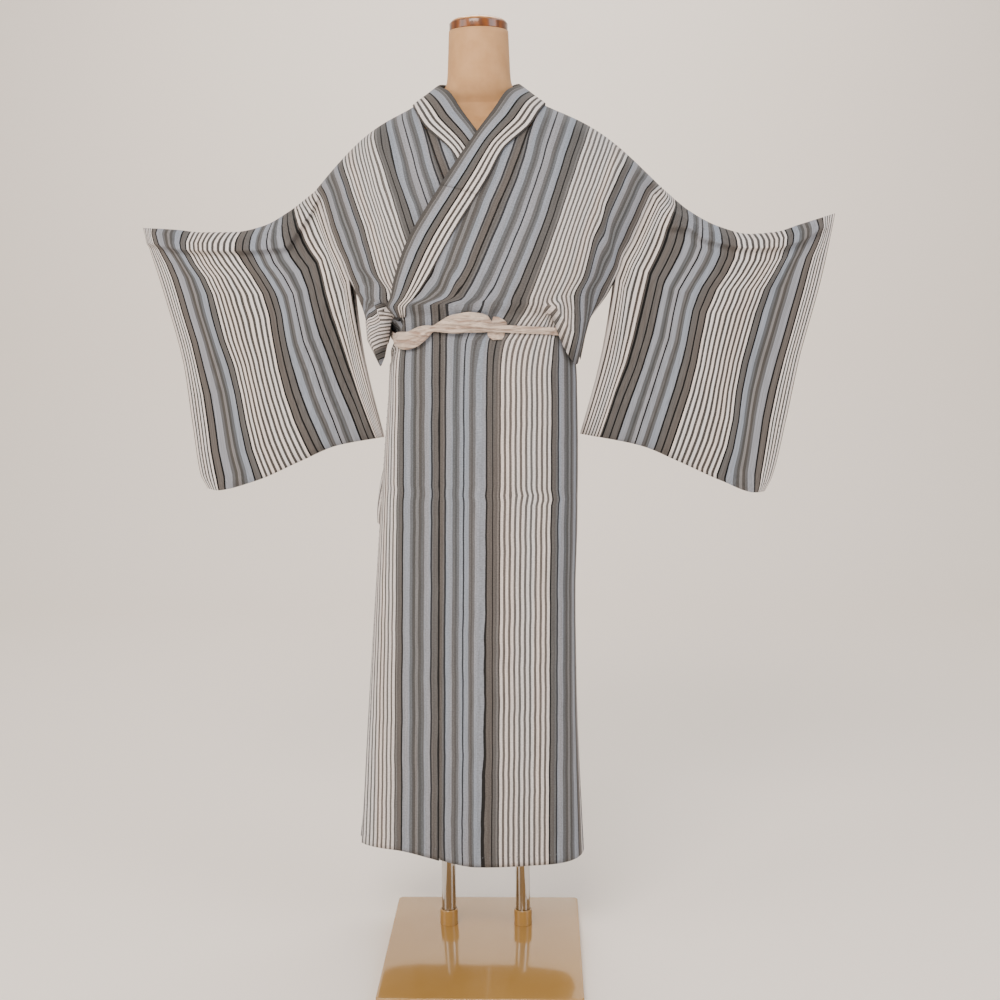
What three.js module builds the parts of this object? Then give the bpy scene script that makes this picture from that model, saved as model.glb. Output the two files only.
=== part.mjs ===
// A woman's striped summer kimono, worn closed on a limbless dress form.
// Millimetres, +Z up, the front faces -Y. The origin is on the floor, midway between the poles.
// "Left" and "right" in names are the wearer's own, so the left front, which lies on top, is on the +X side.
import * as THREE from "three";

// ---------------------------------------------------------------- driving sizes
const CLOTH = 1.2; // wall of one layer of cloth
const SEAM_GAP = 0.3; // between two pieces that are sewn edge to edge
const LAYER = 7; // how far the under front lies inside the over front
const HEM_Z = 158;
const HEM_CORNER_LIFT = 24; // the hem is drawn up towards the over front's free corner
const FRONT_WIDTH = 285; // of a front panel, from the overlap seam to the side seam
const OVERLAP_WIDTH = 155;
const COLLAR_WALL = 2; // the collar is folded double
const COLLAR_LIFT = 1; // clear height of the collar's inner face over the panel
const COLLAR_TUCK = 5; // how far a panel's edge reaches under the collar
const COVER_GAP = 0.4; // between the collar and the collar cover over it

const table = (names, rows) =>
  rows.map((row) => Object.fromEntries(names.map((name, i) => [name, row[i]])));

// Sections of the worn garment, from the neck to the hem: how far the cloth reaches to each side, to the
// front and to the back, and the power of the superellipse (2 is an ellipse, 3 has fuller corners).
const SECTIONS = table(
  ["z", "left", "right", "front", "back", "power"],
  [
    [1541, 66, 70, 46, 70, 2.2],
    [1502, 115, 116, 62, 78, 2.2],
    [1466, 180, 197, 86, 88, 2.2],
    [1421, 232, 251, 104, 98, 2.2],
    [1355, 297, 328, 118, 112, 2.2],
    [1262, 272, 281, 128, 122, 2.3],
    [1215, 252, 259, 130, 122, 2.3],
    [1165, 224, 230, 124, 118, 2.4],
    [1144, 190, 198, 115, 109, 2.6],
    [1128, 161, 166, 105, 101, 2.8],
    [1106, 157, 161, 104, 100, 2.8],
    [1031, 163, 171, 106, 106, 3],
    [905, 173, 173, 108, 112, 3],
    [750, 184, 171, 108, 114, 3],
    [621, 193, 167, 108, 114, 3],
    [427, 208, 169, 107, 112, 3],
    [HEM_Z, 232, 180, 104, 110, 2.8],
  ].reverse(),
);

// Rows of the bodice front, from the shoulder ridge down: where the row starts at the overlap seam, where it
// ends at the armhole or side, how far it crowns between them, and where the collar's two edges cross it.
const FRONT_ROWS = table(
  ["seamX", "seamZ", "outerX", "outerXRight", "outerZ", "crown", "collarOut", "collarIn"],
  [
    [116, 1502, 325, 297, 1353, 20, 116, 70],
    [106, 1480, 317, 291, 1346, 18, 106, 48],
    [91, 1451, 306, 283, 1335, 14, 88, 29],
    [73, 1400, 291, 273, 1305, 8, 45, -6],
    [56, 1356, 280, 266, 1280, 4, 21, -38],
    [41, 1322, 269, 258, 1256, 0, 0, -62],
    [10, 1249, 252, 244, 1226, 0, -50, -118],
    [-14, 1195, 240, 232, 1194, 0, -84, -143],
    [-40, 1160, 224, 218, 1160, 0, -110, -152],
  ],
);

// Rows of the bodice back, from the shoulder ridge down. The centre-back seam is at x = 0.
const BACK_ROWS = table(
  ["seamX", "seamZ", "outerX", "outerXRight", "outerZ", "crown"],
  [
    [84, 1495, 317, 291, 1346, 18],
    [0, 1488, 306, 283, 1335, 14],
    [0, 1440, 291, 273, 1305, 6],
    [0, 1375, 280, 266, 1280, 0],
    [0, 1312, 269, 258, 1256, 0],
    [0, 1250, 252, 244, 1226, 0],
    [0, 1198, 240, 232, 1194, 0],
    [0, 1163, 224, 218, 1160, 0],
  ],
);

// The blouse above the waist: height and distance out of the section, where it lies plain over the tie and
// where it droops in a pouch at the side. The cloth goes down outside, turns, and comes up again inside.
const BLOUSE_ROWS = table(
  ["plainZ", "pouchZ", "plainOut", "pouchOut"],
  [
    [1147, 1088, 2, 27],
    [1139, 1041, 1.5, 9],
    [1134, 1092, 1, 7.5],
    [1128, 1138, 0.4, 1],
    [1106, 1106, 0, 0],
  ],
);

const SKIRT_ROWS = [1084, 1040, 975, 905, 825, 749, 736, 640, 520, 400, 280, HEM_Z];
// A tuck of the right back panel stands out behind the side, down to a short edge.
const TUCK = { top: 905, bottom: 742, out: 17, place: 0.78, width: 0.08 };

const SLEEVE_TOP = table(
  ["along", "leftX", "leftZ", "rightX", "rightZ"],
  [
    [0, 325, 1353, 297, 1353],
    [0.18, 375, 1311, 345, 1317],
    [0.36, 428, 1283, 392, 1292],
    [0.53, 481, 1270, 445, 1282],
    [0.67, 526, 1273, 500, 1282],
    [0.82, 570, 1286, 548, 1287],
    [1, 632, 1305, 609, 1291],
  ],
);
const SLEEVE_CUFF = table(
  ["along", "leftX", "leftZ", "rightX", "rightZ"],
  [
    [0, 632, 1305, 609, 1291],
    [0.24, 606, 1187, 573, 1179],
    [0.49, 573, 1062, 541, 1052],
    [0.74, 546, 936, 525, 930],
    [0.94, 522, 836, 513, 845],
    [1, 508, 808, 500, 818],
  ],
);
const SLEEVE_BOTTOM = table(
  ["along", "leftX", "leftZ", "rightX", "rightZ"],
  [
    [0, 177, 914, 177, 910],
    [0.32, 285, 892, 262, 895],
    [0.55, 358, 861, 336, 864],
    [0.77, 430, 828, 410, 832],
    [0.95, 492, 806, 484, 814],
    [1, 508, 808, 500, 818],
  ],
);
const ARMHOLE_SHARE = 0.34; // of the sleeve's inner edge that is sewn to the body
const ARMHOLE_ROWS = 7; // rows of the body from the ridge to the underarm, which the sleeve's edge shares
const SLEEVE_DEPTH = 9; // how far the front and back of a sleeve stand from its middle, beyond its edges
const SLEEVE_END_DEPTH = 12; // and at its inner edge, below the underarm
const CUFF_SEAM = 0.5; // the cuff is open above this share of its height and sewn below it

// ---------------------------------------------------------------- small mathematics
const lerp = (a, b, t) => a + (b - a) * t;
const clamp01 = (t) => Math.min(1, Math.max(0, t));
const smooth = (t) => clamp01(t) ** 2 * (3 - 2 * clamp01(t));
const bump = (x, middle, width) => Math.exp(-(((x - middle) / width) ** 2));

// A smooth curve through a table's rows that never swings past them (monotone cubic).
function follow(rows, key, value, at) {
  const n = rows.length;
  const t = Math.min(Math.max(at, rows[0][key]), rows[n - 1][key]);
  let i = 0;
  while (i < n - 2 && t > rows[i + 1][key]) i++;
  const slope = (k) => (rows[k + 1][value] - rows[k][value]) / (rows[k + 1][key] - rows[k][key]);
  const tangent = (k) => {
    if (k === 0) return slope(0);
    if (k === n - 1) return slope(n - 2);
    const a = slope(k - 1);
    const b = slope(k);
    return a * b <= 0 ? 0 : (2 * a * b) / (a + b);
  };
  const h = rows[i + 1][key] - rows[i][key];
  const s = (t - rows[i][key]) / h;
  const a = rows[i][value];
  const b = rows[i + 1][value];
  return (
    a * (1 + 2 * s) * (1 - s) ** 2 +
    tangent(i) * h * s * (1 - s) ** 2 +
    b * s * s * (3 - 2 * s) +
    tangent(i + 1) * h * s * s * (s - 1)
  );
}
const section = (z) =>
  Object.fromEntries(
    ["left", "right", "front", "back", "power"].map((name) => [name, follow(SECTIONS, "z", name, z)]),
  );

// Depth of the section at x: how far the cloth stands from the plane y = 0, on the front (-1) or back (+1).
function depthAt(x, z, face, inset = 0) {
  const s = section(z);
  const share = Math.min(1, Math.abs(x) / (x < 0 ? s.left : s.right));
  const deep = (face < 0 ? s.front : s.back) * (1 - share ** s.power) ** (1 / s.power);
  return face * (deep - inset * smooth(deep / 45));
}

// Half of the section's outline at height z on one side, from the middle of the front to the middle of the
// back: a function for its points and the length of cloth up to each.
const ARC_STEPS = 60;
const outlines = new Map();
function outline(z, side) {
  const key = z + "/" + side;
  if (outlines.has(key)) return outlines.get(key);
  const s = section(z);
  const at = (angle, out) => {
    const reach = (side < 0 ? s.left : s.right) + out;
    const deep = (angle < Math.PI / 2 ? s.front : s.back) + out;
    const x = reach * Math.abs(Math.sin(angle)) ** (2 / s.power);
    const y = -Math.sign(Math.cos(angle)) * deep * Math.abs(Math.cos(angle)) ** (2 / s.power);
    return [side * x, y];
  };
  const lengths = [0];
  for (let i = 1; i <= ARC_STEPS; i++) {
    const from = at((Math.PI * (i - 1)) / ARC_STEPS, 0);
    const to = at((Math.PI * i) / ARC_STEPS, 0);
    lengths.push(lengths[i - 1] + Math.hypot(to[0] - from[0], to[1] - from[1]));
  }
  outlines.set(key, { at, lengths, total: lengths[ARC_STEPS] });
  return outlines.get(key);
}
// A point on the section at height z, a length of cloth away from the middle of the front (+ is towards +X),
// moved out by a distance.
function ringPoint(z, arc, out = 0) {
  const { at, lengths, total } = outline(z, arc < 0 ? -1 : 1);
  const length = Math.min(Math.abs(arc), total);
  let i = 1;
  while (i < ARC_STEPS && lengths[i] < length) i++;
  const t = (length - lengths[i - 1]) / (lengths[i] - lengths[i - 1]);
  const [x, y] = at((Math.PI * (i - 1 + t)) / ARC_STEPS, out);
  return new THREE.Vector3(x, y, z);
}
// An arc at the waist, carried to height z: it stays in front, and at the sides and back it follows the
// section's growth.
const WAIST_Z = 1106;
function carried(arc, z) {
  const side = Math.sign(arc) || 1;
  const growth = outline(z, side).total / outline(WAIST_Z, side).total;
  return arc * (1 + (growth - 1) * smooth((Math.abs(arc) - 125) / 85));
}

// ---------------------------------------------------------------- the garment's own surface
const seamArc = (z) => lerp(-78, -66, clamp01((z - HEM_Z) / (WAIST_Z - HEM_Z))); // of the overlap seam
const sideArc = (z) => seamArc(z) + FRONT_WIDTH - 22 * smooth((z - 1000) / 100); // of the side seam

// How far the blouse droops at a place across the front or back, 0 plain to 1 a full pouch.
const pouchAcross = { left: [0.66, 0.9], right: [0.895, 0.99] };
const POUCH_DEPTH = { left: 1, right: 0.82 };
function pouch(side, w, face) {
  const [start, full] = pouchAcross[side];
  const spread = face < 0 ? smooth((w - start) / (full - start)) : smooth((w - 0.68) / 0.28);
  return spread * POUCH_DEPTH[side];
}

// One row of a body panel: w runs from the centre-back or overlap seam (0) to the armhole or side (1).
// side is "left" (the over front, +X) or "right" (the under front, which lies LAYER inside it).
function bodiceRowPoint(row, side, w, face, inset) {
  const sign = side === "left" ? 1 : -1;
  const outer = side === "left" ? row.outerX : row.outerXRight;
  const x = sign * lerp(row.seamX, outer, w);
  const z = lerp(row.seamZ, row.outerZ, w) + row.crown * Math.sin(Math.PI * clamp01(w)) ** 1.2;
  const y = row === FRONT_ROWS[0] ? 0 : depthAt(x, z, face, inset);
  return new THREE.Vector3(x, y, z);
}
function blouseRowPoint(row, side, arc, w, face, inset) {
  const k = pouch(side, w, face);
  const z = lerp(row.plainZ, row.pouchZ, k);
  const quick = clamp01(k * 8); // a pouch clears the tie and the other front as soon as it begins
  const out = lerp(row.plainOut, row.pouchOut, Math.max(k, quick * 0.7));
  return ringPoint(z, carried(arc, z), out - inset * (row.plainZ === WAIST_Z ? 1 : 1 - quick));
}

// The hem is drawn up at the over front's free corner, and what lies under it goes up with it.
function hemLift(z, arc, more = 0) {
  if (z > HEM_Z) return 0;
  return (HEM_CORNER_LIFT + more) * smooth((-arc - 10) / 150) * (1 - smooth((-arc - 240) / 150));
}
const UNDER_HEM_LIFT = 5;
function panelRows(side) {
  const sign = side === "left" ? 1 : -1;
  const under = side === "left" ? 0 : LAYER;
  const half = SEAM_GAP / 2;
  const backInset = (w) => under * smooth((w - 0.55) / 0.4);
  // At the side seam the two walls lean towards each other, the more so where the blouse droops.
  const backArc = (z, w, gap) => sign * lerp(outline(z, sign).total - half, sideArc(z) + gap, w);
  const frontArc = (z, w, gap) => sign * lerp(seamArc(z) + half, sideArc(z) - gap, w);
  const skirtGap = SEAM_GAP;
  const blouseGap = 2 * SEAM_GAP;
  const tuck = (z, w) => {
    if (side === "left" || z < TUCK.bottom) return 0;
    return TUCK.out * bump(w, TUCK.place, TUCK.width) * smooth((TUCK.top - z) / 90);
  };
  const skirtPoint = (z, arc, out) => ringPoint(z, arc, out).setZ(z + hemLift(z, arc, UNDER_HEM_LIFT));
  const rows = [];
  for (const z of [...SKIRT_ROWS].reverse())
    rows.push({ point: (w) => skirtPoint(z, backArc(z, w, skirtGap), tuck(z, w) - backInset(w)) });
  for (const row of [...BLOUSE_ROWS].reverse())
    rows.push({
      point: (w) => blouseRowPoint(row, side, backArc(WAIST_Z, w, blouseGap), w, 1, backInset(w)),
    });
  for (const row of [...BACK_ROWS].reverse())
    rows.push({
      point: (w) => {
        const p = bodiceRowPoint(row, side, w, 1, backInset(w));
        if (row.seamX === 0) p.x += sign * half * (1 - w);
        return p;
      },
    });
  for (const row of FRONT_ROWS)
    rows.push({ point: (w) => bodiceRowPoint(row, side, w, -1, under) });
  for (const row of BLOUSE_ROWS)
    rows.push({ point: (w) => blouseRowPoint(row, side, frontArc(WAIST_Z, w, blouseGap), w, -1, under) });
  for (const z of SKIRT_ROWS)
    rows.push({ point: (w) => skirtPoint(z, frontArc(z, w, skirtGap), -under) });
  return rows;
}

// A place on a front row that is carried on past the overlap seam, towards the other side.
function frontRowPoint(row, x, sign, inset) {
  const slope = (row.outerZ - row.seamZ) / (row.outerX - row.seamX);
  const z = row.seamZ + slope * (x - row.seamX);
  return new THREE.Vector3(sign * x, row === FRONT_ROWS[0] ? 0 : depthAt(sign * x, z, -1, inset), z);
}

// The overlap panel: w = 0 is its free edge (or its edge under the collar), w = 1 the seam to the front.
const FIRST_OVERLAP_ROW = 2;
const collarArc = (z) => lerp(-140, -121, clamp01((z - WAIST_Z) / 50)); // of its seam edge near the waist
// Below the tie the free edge runs out from the collar's end to the panel's full width.
function freeEdgeArc(z) {
  return lerp(collarArc(WAIST_Z) - COLLAR_TUCK, seamArc(z) - OVERLAP_WIDTH, smooth((WAIST_Z - z) / 70));
}
function overlapRows(side) {
  const sign = side === "left" ? 1 : -1;
  const inset = side === "left" ? 0 : LAYER;
  const half = SEAM_GAP / 2;
  const rows = FRONT_ROWS.slice(FIRST_OVERLAP_ROW).map((row) => ({
    point: (w) => {
      const x = lerp(row.collarOut - COLLAR_TUCK, row.seamX - SEAM_GAP, w);
      return frontRowPoint(row, x, sign, inset);
    },
  }));
  for (const row of BLOUSE_ROWS)
    rows.push({
      point: (w) => {
        const arc = lerp(collarArc(row.plainZ) - COLLAR_TUCK, seamArc(WAIST_Z) - half, w);
        return ringPoint(row.plainZ, sign * arc, row.plainOut - inset);
      },
    });
  for (const z of SKIRT_ROWS)
    rows.push({
      point: (w) => {
        const arc = lerp(freeEdgeArc(z), seamArc(z) - half, w);
        return ringPoint(z, sign * arc, -inset).setZ(z + hemLift(z, sign * arc));
      },
    });
  return rows;
}

// ---------------------------------------------------------------- from rows to walls
// Points between rows follow a smooth curve whose pace is the length of cloth between the rows.
function surface(rows) {
  const stations = [0];
  for (let i = 1; i < rows.length; i++) {
    const gap = Math.max(rows[i].point(0.5).distanceTo(rows[i - 1].point(0.5)), 4);
    stations.push(stations[i - 1] + gap);
  }
  return (v, w) => {
    const last = rows.length - 1;
    const i = Math.min(Math.floor(v), last - 1);
    const t = v - i;
    const p = (k) => rows[Math.min(Math.max(k, 0), last)].point(w);
    const [a, b] = [p(i), p(i + 1)];
    if (t === 0) return a;
    const span = stations[i + 1] - stations[i];
    const tangent = (k) => {
      const [k0, k1] = [Math.max(k - 1, 0), Math.min(k + 1, last)];
      return p(k1).sub(p(k0)).multiplyScalar(span / (stations[k1] - stations[k0]));
    };
    return a
      .clone()
      .multiplyScalar((1 + 2 * t) * (1 - t) ** 2)
      .addScaledVector(tangent(i), t * (1 - t) ** 2)
      .addScaledVector(b, t * t * (3 - 2 * t))
      .addScaledVector(tangent(i + 1), t * t * (t - 1));
  };
}

// A wall of even thickness behind a grid of points, or with its outer face raised above it. A loop closes
// each line of the grid on itself. Lines first to last make a part of it, half a seam gap short where the
// grid goes on.
function wall(grid, thickness, { loop = false, flip = false, raise = 0, first = 0, last } = {}) {
  const end = grid.length - 1;
  const final = last ?? end;
  const rows = final - first + 1;
  const cols = grid[0].length;
  const limit = (k, last) => Math.min(Math.max(k, 0), last);
  const at = (i, j) => grid[limit(i, end)][loop ? (j + cols) % cols : limit(j, cols - 1)];
  const shortened = (i) => {
    if (i === first && i > 0) return SEAM_GAP / 2;
    return i === final && i < end ? -SEAM_GAP / 2 : 0;
  };
  const face = (distance) =>
    grid.slice(first, final + 1).flatMap((line, k) =>
      line.map((p, j) => {
        const i = first + k;
        const along = at(i + 1, j).clone().sub(at(i - 1, j)).normalize();
        const across = at(i, j + 1).clone().sub(at(i, j - 1));
        const normal = along.clone().cross(across).normalize();
        return p
          .clone()
          .addScaledVector(normal, flip ? -distance : distance)
          .addScaledVector(along, shortened(i));
      }),
    );
  const positions = [...face(raise), ...face(raise - thickness)].flatMap((p) => [p.x, p.y, p.z]);
  const outerAt = (i, j) => i * cols + (j % cols);
  const innerAt = (i, j) => rows * cols + i * cols + (j % cols);
  const index = [];
  const quad = (a, b, c, d) => index.push(...(flip ? [a, c, b, a, d, c] : [a, b, c, a, c, d]));
  const lastCol = loop ? cols : cols - 1;
  for (let i = 0; i < rows - 1; i++)
    for (let j = 0; j < lastCol; j++) {
      quad(outerAt(i, j), outerAt(i + 1, j), outerAt(i + 1, j + 1), outerAt(i, j + 1));
      quad(innerAt(i, j), innerAt(i, j + 1), innerAt(i + 1, j + 1), innerAt(i + 1, j));
    }
  for (let j = 0; j < lastCol; j++) {
    quad(outerAt(0, j), outerAt(0, j + 1), innerAt(0, j + 1), innerAt(0, j));
    quad(outerAt(rows - 1, j), innerAt(rows - 1, j), innerAt(rows - 1, j + 1), outerAt(rows - 1, j + 1));
  }
  if (!loop)
    for (let i = 0; i < rows - 1; i++) {
      quad(outerAt(i, 0), innerAt(i, 0), innerAt(i + 1, 0), outerAt(i + 1, 0));
      quad(outerAt(i, cols - 1), outerAt(i + 1, cols - 1), innerAt(i + 1, cols - 1), innerAt(i, cols - 1));
    }
  const geometry = new THREE.BufferGeometry();
  geometry.setAttribute("position", new THREE.Float32BufferAttribute(positions, 3));
  geometry.setIndex(index);
  return geometry;
}

const range = (n) => Array.from({ length: n + 1 }, (_, i) => i / n);
// Every row is kept, and a long stretch between two rows is divided.
const STRETCH = 70;
function gridOf(rows, across) {
  const point = surface(rows);
  const levels = [];
  for (let i = 0; i < rows.length - 1; i++) {
    const gap = rows[i].point(0.5).distanceTo(rows[i + 1].point(0.5));
    const parts = Math.max(1, Math.round(gap / STRETCH));
    for (let k = 0; k < parts; k++) levels.push(i + k / parts);
  }
  levels.push(rows.length - 1);
  return levels.map((v) => range(across).map((w) => point(v, w)));
}

// The lines of a grid on which every point passes a test.
function linesWhere(grid, test) {
  return grid.flatMap((line, i) => (line.every(test) ? [i] : []));
}
const atWaist = (p) => Math.abs(p.z - WAIST_Z) < 0.01;
const atRidge = (p) => p.y === 0;

// ---------------------------------------------------------------- sleeves
// A sleeve is a folded rectangle: a tube from the body (a = 0) to the cuff (a = 1), whose loop goes from the
// top fold down the front, round the bottom fold and up the back.
function sleeveGrid(side, lengthSteps, lowerSteps) {
  const sign = side === "left" ? 1 : -1;
  const inset = side === "left" ? 0 : LAYER;
  const edge = (rows, t) => [follow(rows, "along", side + "X", t), follow(rows, "along", side + "Z", t)];
  const armhole = (b, face) => {
    const rows = face < 0 ? FRONT_ROWS : [FRONT_ROWS[0], ...BACK_ROWS];
    const p = bodiceRowPoint(rows[Math.round((b / ARMHOLE_SHARE) * ARMHOLE_ROWS)], side, 1, face, inset);
    return [Math.abs(p.x) + SEAM_GAP, p.z, Math.abs(p.y)];
  };
  const innerEdge = (b, face) => {
    if (b <= ARMHOLE_SHARE) return armhole(b, face);
    const [x, z, y] = armhole(ARMHOLE_SHARE, face);
    const t = (b - ARMHOLE_SHARE) / (1 - ARMHOLE_SHARE);
    const [endX, endZ] = edge(SLEEVE_BOTTOM, 0);
    const depth = lerp(y, SLEEVE_END_DEPTH, smooth(t * 1.6)) * Math.sqrt(1 - t ** 12);
    return [lerp(x, endX, t) + 7 * Math.sin(Math.PI * t), lerp(z, endZ, t), depth];
  };
  const cuffEdge = (b) => {
    const [x, z] = edge(SLEEVE_CUFF, b);
    const open = 9 * Math.sqrt(Math.sin(Math.PI * clamp01(b / CUFF_SEAM))) * (b < CUFF_SEAM ? 1 : 0);
    return [x, z, Math.max(open, b > 0.999 || b < 0.001 ? 0 : CLOTH + SEAM_GAP / 2)];
  };
  const corner = {
    topInner: armhole(0, -1),
    topCuff: [...edge(SLEEVE_TOP, 1), 0],
    bottomInner: [...edge(SLEEVE_BOTTOM, 0), 0],
    bottomCuff: [...edge(SLEEVE_BOTTOM, 1), 0],
  };
  const point = (a, b, face) => {
    const inner = innerEdge(b, face);
    const cuff = cuffEdge(b);
    const top = [...edge(SLEEVE_TOP, a), 0];
    const bottom = [...edge(SLEEVE_BOTTOM, a), 0];
    const coons = (k) =>
      (1 - a) * inner[k] + a * cuff[k] + (1 - b) * top[k] + b * bottom[k] -
      (1 - a) * (1 - b) * corner.topInner[k] - a * (1 - b) * corner.topCuff[k] -
      (1 - a) * b * corner.bottomInner[k] - a * b * corner.bottomCuff[k];
    const fullness = Math.sin(Math.PI * a) ** 0.7 * Math.min(1, 3.2 * Math.sqrt(b)) * Math.sqrt(1 - b ** 10);
    const towardsBody = 30 * Math.sin(Math.PI * Math.sqrt(b)) * smooth(a / 0.16) * (1 - a) ** 0.6;
    const sway = 9 * Math.sin(Math.PI * b) * Math.sin(2.2 * Math.PI * a + 2.4 * b);
    const x = coons(0) - towardsBody;
    const y = face * Math.max(coons(2) + SLEEVE_DEPTH * fullness, 0);
    return new THREE.Vector3(sign * x, y + sway * smooth(a / 0.3) * smooth((1 - a) / 0.2), coons(1));
  };
  const down = [
    ...range(ARMHOLE_ROWS).map((t) => t * ARMHOLE_SHARE),
    ...range(lowerSteps).slice(1).map((t) => lerp(ARMHOLE_SHARE, 1, Math.sin((Math.PI / 2) * t))),
  ];
  return range(lengthSteps).map((a) => [
    ...down.map((b) => point(a, b, -1)),
    ...[...down].reverse().slice(1, -1).map((b) => point(a, b, 1)),
  ]);
}

// ---------------------------------------------------------------- collar and its cover
// The collar runs from the waist end on the over front, up to the shoulder, round the back of the neck and
// down the under front. w = 0 is its neck edge, w = 1 its seam edge.
const NECK_TURNS = [22, 45, 68, 90, 112, 135, 158]; // degrees round the back of the neck
const NECK_EDGE_Z = 1541;
const COVER_LAST_ROW = 5; // the row of the front down to which the cover reaches
function collarRows(lastFrontRow, withEnds) {
  const frontStation = (row, sign, inset) => ({
    point: (w) => frontRowPoint(row, lerp(row.collarIn, row.collarOut, w), sign, inset),
  });
  const waistEnd = (sign, inset) =>
    BLOUSE_ROWS.slice(0, inset ? 1 : 4).map((row) => ({
      point: (w) => {
        const arc = lerp(lerp(-157, -166, clamp01((row.plainZ - WAIST_Z) / 50)), collarArc(row.plainZ), w);
        return ringPoint(row.plainZ, sign * arc, row.plainOut - inset);
      },
    }));
  const neck = NECK_TURNS.map((degrees) => {
    const angle = (degrees * Math.PI) / 180;
    const [c, s] = [Math.cos(angle), Math.sin(angle)];
    return {
      point: (w) => {
        const seamZ = 1502 - 14 * s;
        const seam = [116 * c, Math.max(depthAt(116 * c, seamZ, 1), 0)];
        const neckEdge = [(c < 0 ? 66 : 70) * c, 74 * s];
        const [x, y] = [0, 1].map((k) => lerp(neckEdge[k], seam[k], w));
        return new THREE.Vector3(x, y, lerp(NECK_EDGE_Z, seamZ, w));
      },
    };
  });
  const fronts = FRONT_ROWS.slice(0, lastFrontRow + 1);
  return [
    ...(withEnds ? waistEnd(1, 0).reverse() : []),
    ...[...fronts].reverse().map((row) => frontStation(row, 1, 0)),
    ...neck,
    ...fronts.map((row) => frontStation(row, -1, LAYER)),
    ...(withEnds ? waistEnd(-1, LAYER) : []),
  ];
}

// ---------------------------------------------------------------- waist tie
// One soft strip wound round the waist: how its bunched section changes on the way round, by length of cloth
// from the middle of the front. It is puffed on both sides of the knot and flat where the blouse covers it.
const TIE_ROWS = table(
  ["arc", "z", "height", "thick"],
  [
    [-320, 1104, 20, 3],
    [-230, 1098, 15, 2.2],
    [-174, 1094, 14, 2.4],
    [-156, 1087, 23, 5],
    [-126, 1086, 31, 13],
    [-104, 1091, 32, 14],
    [-86, 1100, 22, 11],
    [-76, 1106, 11, 7],
    [-66, 1109, 17, 9],
    [-42, 1115, 30, 13],
    [-14, 1117, 33, 14],
    [13, 1114, 27, 10],
    [27, 1107, 14, 5],
    [114, 1101, 12.5, 3],
    [160, 1098, 14, 2.2],
    [240, 1098, 15, 2.2],
    [330, 1104, 20, 3],
  ],
);
const TIE_CLEAR = 2.4; // clear of the cloth under it
const TIE_SIDES = 8;
const TIE_STEPS = 50;
function tieRings() {
  const left = outline(WAIST_Z, -1).total;
  const right = outline(WAIST_Z, 1).total;
  return range(TIE_STEPS)
    .slice(0, -1)
    .map((t) => {
      const arc = lerp(-left, right, t);
      const [z, height, thick] = ["z", "height", "thick"].map((name) => follow(TIE_ROWS, "arc", name, arc));
      return range(TIE_SIDES)
        .slice(0, -1)
        .map((turn) => {
          const angle = -2 * Math.PI * turn;
          const out = TIE_CLEAR + (thick / 2) * (1 + Math.cos(angle));
          const p = ringPoint(WAIST_Z, arc, out);
          p.z = z + (height / 2) * Math.sin(angle);
          return p;
        });
    });
}
// The tie's end, tucked up behind the band: it shows as a tab below it and a corner above.
const TIE_END_ROWS = table(
  ["z", "from", "to"],
  [
    [1086, 24, 40],
    [1094, 14, 44],
    [1106, 16, 46],
    [1117, 22, 47],
    [1126, 25, 33],
  ],
);
const tieEndRows = () =>
  TIE_END_ROWS.map((row) => ({ point: (w) => ringPoint(row.z, lerp(row.from, row.to, w), 1.7) }));

// ---------------------------------------------------------------- dress form
const FORM_SECTIONS = table(
  ["z", "width", "front", "back", "power"],
  [
    [760, 118, 66, 70, 2.4],
    [770, 136, 80, 84, 2.5],
    [800, 148, 88, 93, 2.6],
    [900, 158, 94, 99, 2.6],
    [1000, 152, 92, 94, 2.5],
    [1106, 146, 92, 92, 2.5],
    [1215, 160, 106, 102, 2.4],
    [1330, 170, 104, 98, 2.3],
    [1410, 170, 90, 88, 2.2],
    [1445, 164, 74, 76, 2.2],
    [1466, 157, 58, 60, 2],
    [1478, 147, 41, 48, 1.9],
    [1490, 128, 34, 40, 1.9],
    [1503, 106, 33, 40, 1.9],
    [1518, 71, 42, 48, 2],
    [1545, 57, 54, 57, 2],
    [1580, 55, 55, 55, 2],
    [1632, 53, 53, 53, 2],
  ],
);
const FORM_CLEAR = 5; // sideways, from the garment's outer face to the form's shoulders, where it rests
const FORM_SIDES = 28;
const SHOULDERS = { bottom: 1470, top: 1505 };
function formRings() {
  return FORM_SECTIONS.map((row) => {
    const s = section(row.z);
    const carries = row.z > SHOULDERS.bottom && row.z < SHOULDERS.top;
    const width = carries ? Math.min(s.left, s.right) - FORM_CLEAR : row.width;
    return range(FORM_SIDES)
      .slice(0, -1)
      .map((turn) => {
        const angle = 2 * Math.PI * turn;
        const [c, q] = [Math.cos(angle), Math.sin(angle)];
        const x = width * Math.sign(c) * Math.abs(c) ** (2 / row.power);
        const y = (q < 0 ? row.front : row.back) * Math.sign(q) * Math.abs(q) ** (2 / row.power);
        return new THREE.Vector3(x, y, row.z);
      });
  });
}
const PLATE = { width: 343, depth: 405, thick: 12, middleY: -86, corner: 8, bevel: 2 };
const POLE = { radius: 13, apart: 136, bottom: 12.3, top: 759.7 };
const SOCKET = { radius: 16.5, height: 28, bore: 13.3, chamfer: 1.5 };
const CAP = { bottom: 1632.3, radius: 52, band: 14, dome: 13, edge: 1.5 };

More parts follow.
